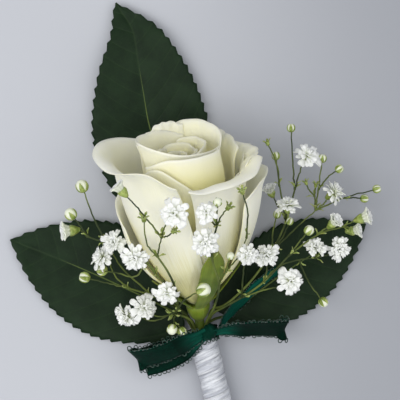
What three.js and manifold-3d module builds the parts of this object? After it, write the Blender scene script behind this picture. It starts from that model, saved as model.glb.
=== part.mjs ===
// A white rose boutonniere, laid on its back: one half-open rose, three serrated rose leaves and
// sprigs of baby's breath, their stems bound in white satin tape and tied with a dark green ribbon bow.
// Millimetres. +Z is up, off the table. +Y runs from the cut stems towards the tip of the top leaf.
// Points in the tables below are in the table frame, with z = 0 on the table.
import * as THREE from "three";
import { mergeVertices } from "three/addons/utils/BufferGeometryUtils.js";
import Module from "manifold-3d";

const wasm = await Module();
wasm.setup();

// Driving dimensions of the bound stems
const TIE = { x: 0.1, y: -37.7 }; // where the ribbon is tied round the bundle
const BUNDLE_LEAN = 13.8; // degrees that the bound stems lean from -Y towards +X
const BUNDLE_HEIGHT = 5.2; // the bundle's centre line over the table, at the tie
const BUNDLE_SINK = 0.0317; // how much lower it lies for each millimetre towards the cut ends
const WRAP_TOP = 0.4; // distances from the tie, towards the cut ends
const WRAP_END = 41;
const STEMS_END = 44.5;
const WRAP_RADIUS = 3.8;
const WRAP_STEP = 0.25; // height of each edge of the tape over the turn under it
const WRAP_PITCH = 4.6;
const WRAP_BORE = 3.0;
const STEM_RING = 2.25; // thin stems stand in a ring of this radius round the rose's stem
const SPRIG_RING = 2.29; // and the sprigs leave the tie in this one
const THIN_STEM = 0.42;
const ROSE_STEM = 1.5; // radius at its cut end
const ROSE_NECK = 1.22; // and under the hip

// Driving dimensions of the rose
const BLOOM_BASE = new THREE.Vector3(-0.8, -29.3, 9.4);
const BLOOM_TILT = 25.5; // degrees that the bloom's axis rises off the table
const BLOOM_TURN = 6.5; // degrees that it turns from +Y towards -X
const GUARD_PROFILE = [[2.6, 0.4], [6.5, 7.2], [21.2, 17.5], [22, 49]]; // radius, height
const BACK_FLATTENING = 0.08; // share of its radius that the bloom's own weight presses in below
const PETAL_THICK = 0.7;
const SEPAL_THICK = 0.8;
const LEAF_THICK = 0.6;
const RIBBON_WIDTH = 8;
const RIBBON_THICK = 0.6;
const FINEST = 0.04; // shorter steps than this in a joined surface are smoothed away

const UP = new THREE.Vector3(0, 0, 1);
const rad = THREE.MathUtils.degToRad;
const vec = (p) => (p.isVector3 ? p.clone() : new THREE.Vector3(...p));
const mix = (a, b, t) => a + (b - a) * t;

// A smooth line through evenly spaced values, at t from 0 to 1.
function spline(values, t) {
  const last = values.length - 1;
  const place = THREE.MathUtils.clamp(t, 0, 1) * last;
  const i = Math.min(Math.floor(place), last - 1);
  const f = place - i;
  const [p0, p1, p2, p3] = [i - 1, i, i + 1, i + 2].map((k) => values[THREE.MathUtils.clamp(k, 0, last)]);
  return p1 + 0.5 * f * (p2 - p0 + f * (2 * p0 - 5 * p1 + 4 * p2 - p3 + f * (3 * (p1 - p2) + p3 - p0)));
}

// Solids and meshes

// A closed geometry as a solid that can be joined or cut.
function solidOf(geometry) {
  const bare = geometry.index ? geometry.toNonIndexed() : geometry.clone();
  bare.deleteAttribute("normal");
  bare.deleteAttribute("uv");
  const merged = mergeVertices(bare, 1e-4);
  return new wasm.Manifold(
    new wasm.Mesh({
      numProp: 3,
      vertProperties: merged.attributes.position.array,
      triVerts: new Uint32Array(merged.index.array),
    }),
  );
}

// Points and triangles as a geometry.
function geometryFrom(points, triangles) {
  const corners = triangles.flat().flatMap((i) => points[i].toArray());
  const geometry = new THREE.BufferGeometry();
  geometry.setAttribute("position", new THREE.Float32BufferAttribute(corners, 3));
  return geometry;
}

// One solid out of several, with any hollow that joining them sealed filled in.
function fuse(solids) {
  const joined = solids.reduce((whole, next) => whole.add(next)).simplify(FINEST);
  return joined.decompose().sort((a, b) => b.volume() - a.volume())[0];
}

// A solid's surface as a geometry.
function geometryOf(solid) {
  const { vertProperties, triVerts } = solid.getMesh();
  const geometry = new THREE.BufferGeometry();
  geometry.setAttribute("position", new THREE.BufferAttribute(new Float32Array(vertProperties), 3));
  geometry.setIndex(new THREE.BufferAttribute(new Uint32Array(triVerts), 1));
  return geometry;
}

// A named mesh of a solid.
function meshOf(name, solid, color, roughness) {
  const geometry = geometryOf(solid);
  geometry.computeVertexNormals();
  const material = new THREE.MeshStandardMaterial({ color, roughness, metalness: 0 });
  const mesh = new THREE.Mesh(geometry, material);
  mesh.name = name;
  return mesh;
}

// A closed sheet: the surface's triangles on both faces, a shift apart, with a wall round its rim.
function thicken(points, triangles, shift) {
  const far = points.map((p, i) => p.clone().add(shift(i)));
  const count = points.length;
  const faces = [];
  const uses = new Map();
  for (const [a, b, c] of triangles) {
    faces.push([a, b, c], [a + count, c + count, b + count]);
    for (const [from, to] of [[a, b], [b, c], [c, a]]) uses.set(`${from},${to}`, [from, to]);
  }
  for (const [from, to] of uses.values()) {
    if (!uses.has(`${to},${from}`)) {
      faces.push([to, from, from + count], [to, from + count, to + count]);
    }
  }
  const solid = solidOf(geometryFrom([...points, ...far], faces));
  return solid.volume() < 0 ? flipped([...points, ...far], faces) : solid;
}

function flipped(points, faces) {
  return solidOf(geometryFrom(points, faces.map(([a, b, c]) => [a, c, b])));
}

// A surface given by a function of u and v, as points and triangles.
function gridSurface(at, columns, rows) {
  const points = [];
  const triangles = [];
  for (let j = 0; j <= rows; j++) {
    for (let i = 0; i <= columns; i++) points.push(at(i / columns, j / rows));
  }
  for (let j = 0; j < rows; j++) {
    for (let i = 0; i < columns; i++) {
      const a = j * (columns + 1) + i;
      const b = a + columns + 1;
      triangles.push([a, a + 1, b + 1], [a, b + 1, b]);
    }
  }
  return { points, triangles };
}

// The mean direction of the faces round each point.
function normalsOf({ points, triangles }) {
  const normals = points.map(() => new THREE.Vector3());
  for (const [a, b, c] of triangles) {
    const ab = points[b].clone().sub(points[a]);
    const face = ab.cross(points[c].clone().sub(points[a]));
    for (const i of [a, b, c]) normals[i].add(face);
  }
  return normals.map((n) => n.normalize());
}

// A sheet of even thickness about a surface given by a function.
function sheet(at, columns, rows, thickness) {
  const surface = gridSurface(at, columns, rows);
  const normals = normalsOf(surface);
  const near = surface.points.map((p, i) => p.clone().addScaledVector(normals[i], -thickness / 2));
  return thicken(near, surface.triangles, (i) => normals[i].clone().multiplyScalar(thickness));
}

// A closed tube from rings of points that all have the same number of corners.
function loft(rings, startPoint, endPoint) {
  const sides = rings[0].length;
  const points = [...rings.flat(), startPoint, endPoint];
  const first = points.length - 2;
  const last = points.length - 1;
  const faces = [];
  for (let k = 0; k < sides; k++) {
    const next = (k + 1) % sides;
    for (let i = 0; i < rings.length - 1; i++) {
      const a = i * sides;
      faces.push([a + k, a + next, a + sides + next], [a + k, a + sides + next, a + sides + k]);
    }
    const end = (rings.length - 1) * sides;
    faces.push([first, next, k], [last, end + k, end + next]);
  }
  const solid = solidOf(geometryFrom(points, faces));
  return solid.volume() < 0 ? flipped(points, faces) : solid;
}

// A round stem: straight between the points of its lead, then smoothly through the others with a
// number of steps between each two, its radius running from one value to another.
function stem(lead, points, startRadius, endRadius, sides, steps) {
  const curve = new THREE.CatmullRomCurve3(points.map(vec), false, "centripetal");
  const route = [...lead, ...curve.getPoints(steps * (points.length - 1))];
  const rings = [];
  const normal = UP.clone();
  for (let i = 0; i < route.length; i++) {
    const before = route[Math.max(i - 1, 0)];
    const heading = route[Math.min(i + 1, route.length - 1)].clone().sub(before).normalize();
    normal.addScaledVector(heading, -normal.dot(heading)).normalize();
    const across = new THREE.Vector3().crossVectors(heading, normal);
    const radius = mix(startRadius, endRadius, i / (route.length - 1));
    const ring = [];
    for (let k = 0; k < sides; k++) {
      const turn = (2 * Math.PI * k) / sides;
      const corner = route[i].clone().addScaledVector(normal, radius * Math.cos(turn));
      ring.push(corner.addScaledVector(across, radius * Math.sin(turn)));
    }
    rings.push(ring);
  }
  return loft(rings, route[0], route[route.length - 1]);
}

// A turned solid: radius and height pairs, on a frame whose Z is the given direction.
function turned(profile, sides, origin, direction) {
  const points = profile.map(([r, h]) => new THREE.Vector2(r, h));
  const geometry = new THREE.LatheGeometry(points, sides);
  geometry.applyQuaternion(
    new THREE.Quaternion().setFromUnitVectors(new THREE.Vector3(0, 1, 0), vec(direction).normalize()),
  );
  geometry.translate(...vec(origin).toArray());
  return solidOf(geometry);
}

// Frames of the bundle and of the bloom

const bundleDown = new THREE.Vector3(Math.sin(rad(BUNDLE_LEAN)), -Math.cos(rad(BUNDLE_LEAN)), 0);
const bundleRight = new THREE.Vector3(Math.cos(rad(BUNDLE_LEAN)), Math.sin(rad(BUNDLE_LEAN)), 0);
const bundleAxis = bundleDown.clone().setZ(-BUNDLE_SINK).normalize();
const bundleUp = new THREE.Vector3().crossVectors(bundleRight, bundleAxis).negate();
const tie = new THREE.Vector3(TIE.x, TIE.y, BUNDLE_HEIGHT);

// A point in the bundle: distance from the tie, degrees round the centre line from the right, radius.
function inBundle(distance, angle, radius) {
  return tie.clone().addScaledVector(bundleAxis, distance)
    .addScaledVector(bundleRight, radius * Math.cos(rad(angle)))
    .addScaledVector(bundleUp, radius * Math.sin(rad(angle)));
}

const bloomAxis = new THREE.Vector3(
  -Math.sin(rad(BLOOM_TURN)) * Math.cos(rad(BLOOM_TILT)),
  Math.cos(rad(BLOOM_TURN)) * Math.cos(rad(BLOOM_TILT)),
  Math.sin(rad(BLOOM_TILT)),
);
const bloomRight = new THREE.Vector3(Math.cos(rad(BLOOM_TURN)), Math.sin(rad(BLOOM_TURN)), 0);
const bloomFront = new THREE.Vector3().crossVectors(bloomRight, bloomAxis);

// A point of the bloom: angle from the side that faces up towards the right, radius, height.
function inBloom(angle, radius, height) {
  return BLOOM_BASE.clone().addScaledVector(bloomAxis, height)
    .addScaledVector(bloomFront, radius * Math.cos(angle))
    .addScaledVector(bloomRight, radius * Math.sin(angle));
}

// A point on a cubic curve of radius and height pairs.
function onProfile(profile, t) {
  const s = 1 - t;
  const weights = [s * s * s, 3 * s * s * t, 3 * s * t * t, t * t * t];
  return [0, 1].map((k) => weights.reduce((sum, w, i) => sum + w * profile[i][k], 0));
}

// A point a distance off the outer petals' side view, t along it from the bloom's base.
function offProfile(angle, t, distance) {
  const [r0, h0] = onProfile(GUARD_PROFILE, t);
  const [r1, h1] = onProfile(GUARD_PROFILE, t + 0.01);
  const heading = Math.atan2(r1 - r0, h1 - h0);
  const radius = r0 * (1 - BACK_FLATTENING * Math.max(0, -Math.cos(angle)));
  return inBloom(angle, radius + distance * Math.cos(heading), h0 - distance * Math.sin(heading));
}

// A point outside the outer petals: degrees round the bloom, height of the petal there, distance off it.
function bloom(angle, height, distance) {
  let low = 0;
  let high = 1;
  for (let i = 0; i < 20; i++) {
    const middle = (low + high) / 2;
    if (onProfile(GUARD_PROFILE, middle)[1] < height) low = middle;
    else high = middle;
  }
  return offProfile(rad(angle), low, distance);
}

// A thin stem's start: straight in its place in the bundle, as far as the tie.
const bundled = (ring) => [STEMS_END, WRAP_END / 2].map((d) => inBundle(d, ring, STEM_RING));

// Where it leaves the tie, and where it then passes the rose's hip, on the same side.
function pastHip(ring) {
  const side = rad(90 - ring);
  return [inBundle(-0.3, ring, SPRIG_RING), inBloom(side, HIP_CLEARANCE, -4.6)];
}

// The rose

// Petals from the heart outwards. turn: degrees round the bloom to the petal's middle, from the side
// that faces up. half: degrees from its middle to each side. rim: radius and height where the middle
// of its top ends. shell: how far its belly lies outside or inside the common side view. lean: how
// much further out its right side lies. curl: degrees that its top rolls outwards, over its last roll
// millimetres. dip: share of its height that its sides lose. tip: millimetres of point in the middle.
// lifts, flares, curls: from its left side to its right, how much higher and further out its rim runs,
// and the share of the curl that it has there. left, right: the degrees round the bloom where its
// sides run, from its base to its rim.
const PLAIN = {
  shell: 0, lean: 0, dip: 0, tip: 0, lifts: [0, 0], flares: [0, 0], curls: [0.65, 0.91, 1, 0.91, 0.65],
};
const HEART = [
  { turn: 20, half: 120, rim: [2.4, 46.6], lean: 0.9, curl: 0, roll: 3, dip: 0.03 },
  { turn: 200, half: 105, rim: [3.9, 47.2], lean: 0.9, curl: 0, roll: 3, dip: 0.04 },
  { turn: 95, half: 95, rim: [5.4, 48.0], lean: 0.8, curl: 5, roll: 3, dip: 0.05 },
  { turn: 240, half: 90, rim: [6.8, 48.8], lean: 0.8, curl: 8, roll: 3, dip: 0.05 },
  { turn: 0, half: 88, rim: [8.2, 49.2], lean: 0.8, curl: 10, roll: 3, dip: 0.05 },
];
const CUP = [
  { turn: 140, half: 76, rim: [11.8, 53], curl: 22, roll: 4,
    lifts: [-4.7, -2.4, -1.3, -1.3, -3.6], flares: [-0.2, 1, 1.6, 2, 2.1] },
  { turn: 232, half: 72, rim: [10.8, 52], curl: 16, roll: 4,
    lifts: [-3.8, -1.6, -0.8, 0.4, 0.2], flares: [0.5, 0.8, 0.8, 0.9, 1.3] },
  { turn: 5, half: 88, rim: [11.4, 51.6], shell: 0.6, curl: 30, roll: 4,
    lifts: [2, 0.9, -0.7, -1.7, -2.8], flares: [1.1, -0.1, -0.4, -0.4, 0.1] },
  { turn: 8, half: 66, rim: [13.6, 49.5], shell: 0.6, curl: 16, roll: 4,
    lifts: [-1, 1.4, 1.5, 1.1, 0.6], flares: [-0.3, -0.6, -0.6, -0.7, -1] },
  { turn: 335, half: 58, rim: [14.8, 48.2], shell: 0.6, curl: 20, roll: 4,
    lifts: [0.6, 1.9, 1, -2.9, -8.2], flares: [-1, -0.8, -0.4, -0.4, -0.6] },
];
const GUARDS = [
  { turn: 200, half: 34, rim: [15.5, 51.5], shell: -1.4, curl: 30, roll: 5,
    lifts: [1, 2.4, 3, 1.4, -0.2], flares: [-3, -3, -3, -2.4, -2.2] },
  { turn: 128, half: 40, rim: [16.6, 50.4], shell: -1.4, curl: 40, roll: 6,
    lifts: [-1.9, -0.5, -0.1, -0.2, -0.9], flares: [0.5, 0.8, 1.3, 2, 2.5] },
  { turn: 72, half: 40, rim: [17.4, 46.5], shell: -2.4, curl: 16, roll: 5,
    lifts: [-2, -1.8, -1.7, -1.1, -0.7], flares: [0, -0.3, -0.6, -0.1, 1.8] },
  { turn: 100, half: 40, rim: [21, 48], shell: -1.6, curl: 50, roll: 7,
    lifts: [2.5, 2.5, 1.9, 1.3, 0.6], flares: [2, 1.6, 0.5, 0, -0.6] },
  { turn: 172, half: 52, rim: [21.6, 47.4], lean: 0.9, curl: 60, roll: 9, dip: 0.12, tip: 1.4 },
  { turn: 292, half: 76, rim: [21.5, 50.4], curl: 60, roll: 7,
    lifts: [-1.1, 1.9, 5.5, 6.4, 4.4, 3.4, -1.2], flares: [0.3, 1.8, 1.5, 0, -0.7, -2, -1.4],
    curls: [0.2, 0.4, 1.2, 2.2, 2.1, 1.3, 0.9, 0.7],
    left: [232, 222, 214, 212, 212], right: [378, 378, 374, 364, 354.3] },
  { turn: 88, half: 40, rim: [22.5, 46], curl: 20, roll: 6,
    lifts: [-6.1, -4, -3.5, -4.3, -6], flares: [-2, -0.5, 1.3, 1.8, 1.7] },
  { turn: 252, half: 50, rim: [19.6, 36], shell: 0.9, curl: 36, roll: 7, dip: 0.1, tip: 1 },
  { turn: 41, half: 46, rim: [23, 45.5], shell: 0.9, curl: 135, roll: 9,
    lifts: [3.6, 5, 4.8, 5.1, 6.6], flares: [-1, -1.2, -0.6, 0, -0.5], curls: [0.7, 0.95, 1, 1, 1, 1, 1],
    left: [-16, -14, 0, 8, 3.3], right: [50, 52, 56, 64, 78.7] },
];
const CORE_PROFILE = [[0, 0], [2, 0.3], [4.4, 4], [8, 12], [9, 20], [8.6, 28], [5, 38], [0, 42]];

const INNER_START = 22; // height where the inner petals start, inside the core
const INNER_LOW = 30; // and where they leave it
const INNER_BELLY = 0.8; // how far up an inner petal is widest, as a share of its height
const OUTER_BELLY = 0.36; // and an outer one
const INWARD = 0.95; // share of its radius that a petal draws in below its rim

// The petal's side view: how its radius and height run from its base to its rim, as if it didn't roll.
function petalProfile({ rim, curl, roll, shell }) {
  const turnedBy = rad(curl) + 1e-3;
  const arc = roll / turnedBy;
  const radius = rim[0] - arc * (1 - Math.cos(turnedBy));
  const height = rim[1] + roll - arc * Math.sin(turnedBy);
  const outer = THREE.MathUtils.smoothstep(rim[0], 12, 20);
  const [[baseRadius, baseHeight], [lowRadius, lowHeight], , [topRadius]] = GUARD_PROFILE;
  const start = [
    mix(0.8 * radius, baseRadius - 0.3 * shell, outer),
    mix(INNER_START, baseHeight + Math.max(0, -shell), outer),
  ];
  const low = [mix(radius * 0.9, lowRadius + 0.8 * shell, outer), mix(INNER_LOW, lowHeight, outer)];
  const middle = [
    mix(radius, mix(radius, topRadius, 0.5), outer) * INWARD + shell,
    height * mix(INNER_BELLY, OUTER_BELLY, outer),
  ];
  return [start, low, middle, [radius, height]];
}

// A petal's surface: u runs across it from -1 to 1, v from its base to its rim.
function petalPoint(petal, u, v) {
  const profile = petalProfile(petal);
  const across = (u + 1) / 2;
  const side = Math.abs(u);
  const reach = v * (1 - petal.dip * side ** 2.6);
  const total = 1.15 * (petal.rim[1] - profile[0][1]); // near enough the length of its side view
  const rollStart = 1 - petal.roll / total;
  let [radius, height] = onProfile(profile, Math.min(reach, rollStart));
  if (reach > rollStart) {
    const [r1, h1] = onProfile(profile, rollStart);
    const [r0, h0] = onProfile(profile, rollStart - 0.02);
    const heading = Math.atan2(r1 - r0, h1 - h0);
    const curl = rad(petal.curl * spline(petal.curls, across)) + 1e-3;
    const arc = petal.roll / curl;
    const turnedBy = (curl * (reach - rollStart)) / (1 - rollStart);
    radius = r1 + arc * (Math.cos(heading) - Math.cos(heading + turnedBy));
    height = h1 + arc * (Math.sin(heading + turnedBy) - Math.sin(heading));
  }
  const nearRim = v ** 2.5;
  height += petal.tip * Math.max(0, 1 - side * 3) * v ** 6 + spline(petal.lifts, across) * nearRim;
  radius += petal.lean * u * Math.min(1, v * 3) + spline(petal.flares, across) * nearRim;
  const degrees = petal.left
    ? mix(spline(petal.left, v), spline(petal.right, v), across)
    : petal.turn + petal.half * u * (0.82 + 0.18 * Math.sin(Math.PI * v));
  radius *= 1 - BACK_FLATTENING * Math.max(0, -Math.cos(rad(degrees)));
  return inBloom(rad(degrees), radius, height);
}

function petalSolid(row, columns, rows) {
  const petal = { ...PLAIN, ...row };
  // Rows crowd towards the rim, where the petal rolls.
  return sheet((a, b) => petalPoint(petal, 2 * a - 1, b ** 0.75), columns, rows, PETAL_THICK);
}

function roseBloom() {
  const core = turned(CORE_PROFILE, 10, BLOOM_BASE, bloomAxis);
  const petals = [
    ...HEART.map((petal) => petalSolid(petal, 8, 2)),
    ...CUP.map((petal) => petalSolid(petal, 7, 3)),
    ...GUARDS.map((petal) => petalSolid(petal, 8, 4)),
  ];
  return fuse([core, ...petals]);
}

// Five sepals round the hip: degrees round the bloom, and how far each reaches up the petals, as a
// share of the outer petals' side view.
const SEPALS = [[19, 0.73], [91, 0.46], [163, 0.36], [235, 0.36], [300, 0.44]];
const SEPAL_HALVES = [1.9, 2, 2.2, 2.7, 3.3, 3.1, 0.3]; // half its width, from its base to its tip
const SEPAL_GAP = 1.9; // from the outer petals' side view to the middle of a sepal
const SEPAL_ROOT = [2, -2.4]; // radius and height inside the hip
const HIP_PROFILE = [[0, -6.4], [1.4, -6.2], [2.5, -4.5], [3.4, -2.2], [3.3, -1.1], [2.4, -0.4], [0, -0.3]];

function sepalPoint([turn, length], u, v) {
  if (v === 0) return inBloom(rad(turn) + u, SEPAL_ROOT[0], SEPAL_ROOT[1]);
  const along = v * length;
  const halfWidth = spline(SEPAL_HALVES, v);
  const radius = Math.max(onProfile(GUARD_PROFILE, along)[0], 4);
  const gap = SEPAL_GAP * (0.55 + 0.45 * Math.min(1, v * 4));
  return offProfile(rad(turn) + (u * halfWidth) / radius, along, gap);
}

function roseCalyx() {
  const hip = turned(HIP_PROFILE, 10, BLOOM_BASE, bloomAxis);
  const sepals = SEPALS.map((s) => sheet((a, b) => sepalPoint(s, 2 * a - 1, b), 2, 6, SEPAL_THICK));
  const lead = [STEMS_END + 1, 20, 6].map((d) => inBundle(d, 0, 0));
  const path = [inBundle(0.3, 0, 0), inBloom(0, 0, -5.4), inBloom(0, 0, -3.4)];
  return fuse([hip, ...sepals, stem(lead, path, ROSE_STEM, ROSE_NECK, 8, 2)]);
}

// The leaves

// base, tip: the midrib's ends on the table. ribHeights: its height over the table from base to tip.
// bow: how far the midrib bends to its left, from base to tip. lift: how far the widest part's edges
// rise above it. fall: how the outline narrows to the tip, more pointed the larger it is. ring: its
// place in the bundle. petiole: where its stalk runs, from the tie to the blade.
const LEAVES = {
  leaf_top: {
    base: [-5.8, -11.6], tip: [-24.9, 58.4], ribHeights: [0.8, 0.6, 0.7, 1.4, 2.6, 3.4, 2.6],
    bow: [0, 0, 0, 0, 0, -0.9, -1.8, -2.6, 0], halfWidth: 17.4, fall: 0.96, lift: 2.2, teeth: 24,
    ring: 270,
    petiole: [[0.2, -33.4, 3.2], [-0.6, -29, 1.6], [-2.2, -22, 0.7]],
  },
  leaf_left: {
    base: [-5.2, -34.4], tip: [-56.2, -11.8], ribHeights: [2.2, 1.2, 0.7, 0.6, 0.7, 1.3, 2.4],
    bow: [0, -0.5, -0.7, -0.5, 0], halfWidth: 17, fall: 0.95, lift: 2.2, teeth: 19, ring: 235,
    petiole: [[-2.6, -35.6, 2.9]],
  },
  leaf_right: {
    base: [8.6, -34.0], tip: [49.1, -7.1], ribHeights: [2.2, 1.2, 0.7, 0.6, 0.7, 1.2, 2.2],
    bow: [0, 0.85, 1.2, 0.85, 0], halfWidth: 13.5, fall: 0.95, lift: 2.2, teeth: 17, ring: 305,
    petiole: [[4.4, -35.2, 3.0]],
  },
};
const LEAF_RISE = 0.72; // how the outline widens from the base
const TOOTH_DEPTH = 0.85;
const TOOTH_LEAN = 0.86; // where a tooth's point lies between its two notches
const NOTCH_LEAN = 0.94; // and where the notch after it does
const RIB_STEPS = 8;

// Half the blade's width at t along the midrib.
function halfWidthAt({ fall, halfWidth }, t) {
  const widest = LEAF_RISE / (LEAF_RISE + fall);
  const shape = (x) => x ** LEAF_RISE * (1 - x) ** fall;
  return (halfWidth * shape(t)) / shape(widest);
}

// A point of the blade: t along the midrib, offset from it in millimetres, to its left if positive.
function leafPoint(leaf, t, offset) {
  const base = new THREE.Vector2(...leaf.base);
  const along = new THREE.Vector2(...leaf.tip).sub(base);
  const left = new THREE.Vector2(-along.y, along.x).normalize();
  const spot = base.addScaledVector(along, t).addScaledVector(left, spline(leaf.bow, t) + offset);
  const place = t * (leaf.ribHeights.length - 1);
  const step = Math.min(Math.floor(place), leaf.ribHeights.length - 2);
  const rib = mix(leaf.ribHeights[step], leaf.ribHeights[step + 1], place - step);
  const share = Math.abs(offset) / leaf.halfWidth;
  const rise = leaf.lift * (share ** 1.3 - 0.35 * share ** 4);
  return new THREE.Vector3(spot.x, spot.y, rib + rise);
}

// Triangles between two lines of points that both run along the leaf.
function zip(lower, upper) {
  const triangles = [];
  let i = 0;
  let j = 0;
  while (i < lower.length - 1 || j < upper.length - 1) {
    const stepLower = j === upper.length - 1
      || (i < lower.length - 1 && lower[i + 1].t <= upper[j + 1].t);
    const next = stepLower ? lower[i + 1] : upper[j + 1];
    triangles.push([lower[i].id, next.id, upper[j].id]);
    if (stepLower) i += 1;
    else j += 1;
  }
  return triangles.filter(([a, b, c]) => a !== b && b !== c && a !== c);
}

function leafBlade(leaf) {
  const points = [];
  const add = (t, offset) => {
    points.push(leafPoint(leaf, t, offset));
    return { t, id: points.length - 1 };
  };
  const base = add(0, 0);
  const tip = add(1, 0);
  const inner = (share) => {
    const line = [base];
    for (let i = 1; i < RIB_STEPS; i++) {
      const t = i / RIB_STEPS;
      line.push(add(t, share * halfWidthAt(leaf, t)));
    }
    return [...line, tip];
  };
  const edge = (side) => {
    const line = [base];
    for (let k = 0; k < leaf.teeth; k++) {
      const point = (k + TOOTH_LEAN) / leaf.teeth;
      const notch = (k + NOTCH_LEAN) / leaf.teeth;
      const width = halfWidthAt(leaf, point) + 0.25;
      line.push(add(point, side * width));
      if (k < leaf.teeth - 1) line.push(add(notch, side * Math.max(0.3, width - TOOTH_DEPTH)));
    }
    return [...line, tip];
  };
  const lines = [edge(-1), inner(-0.55), inner(0), inner(0.55), edge(1)];
  const triangles = lines.slice(1).flatMap((line, i) => zip(lines[i], line));
  return thicken(points, triangles, () => new THREE.Vector3(0, 0, -LEAF_THICK));
}

function leafSolid(leaf) {
  const blade = leafBlade(leaf);
  const inside = leafPoint(leaf, 0.06, 0).add(new THREE.Vector3(0, 0, -LEAF_THICK / 2));
  const start = leafPoint(leaf, 0, 0).add(new THREE.Vector3(0, 0, -LEAF_THICK / 4));
  const path = [inBundle(-0.3, leaf.ring, STEM_RING), ...leaf.petiole, start, inside];
  return fuse([blade, stem(bundled(leaf.ring), path, THIN_STEM, 0.4, 5, 2)]);
}

// Baby's breath

// A sprig's twigs, each a line of points with the kind of bloom at its end. A point is [x, y, z] over
// the table, or a place outside the rose's petals. face: the way that a flower looks, if it isn't the
// way its twig points. size: how large the flower or bud is beside a full one.
const HIP_CLEARANCE = 4;
const FLOWER_RADIUS = 4.4;
const FLOWER_DEPTH = 2.9; // from the base of a flower's green cup to its petals
const BUD_RADIUS = 1.5;
const TWIG = 0.4;

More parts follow.
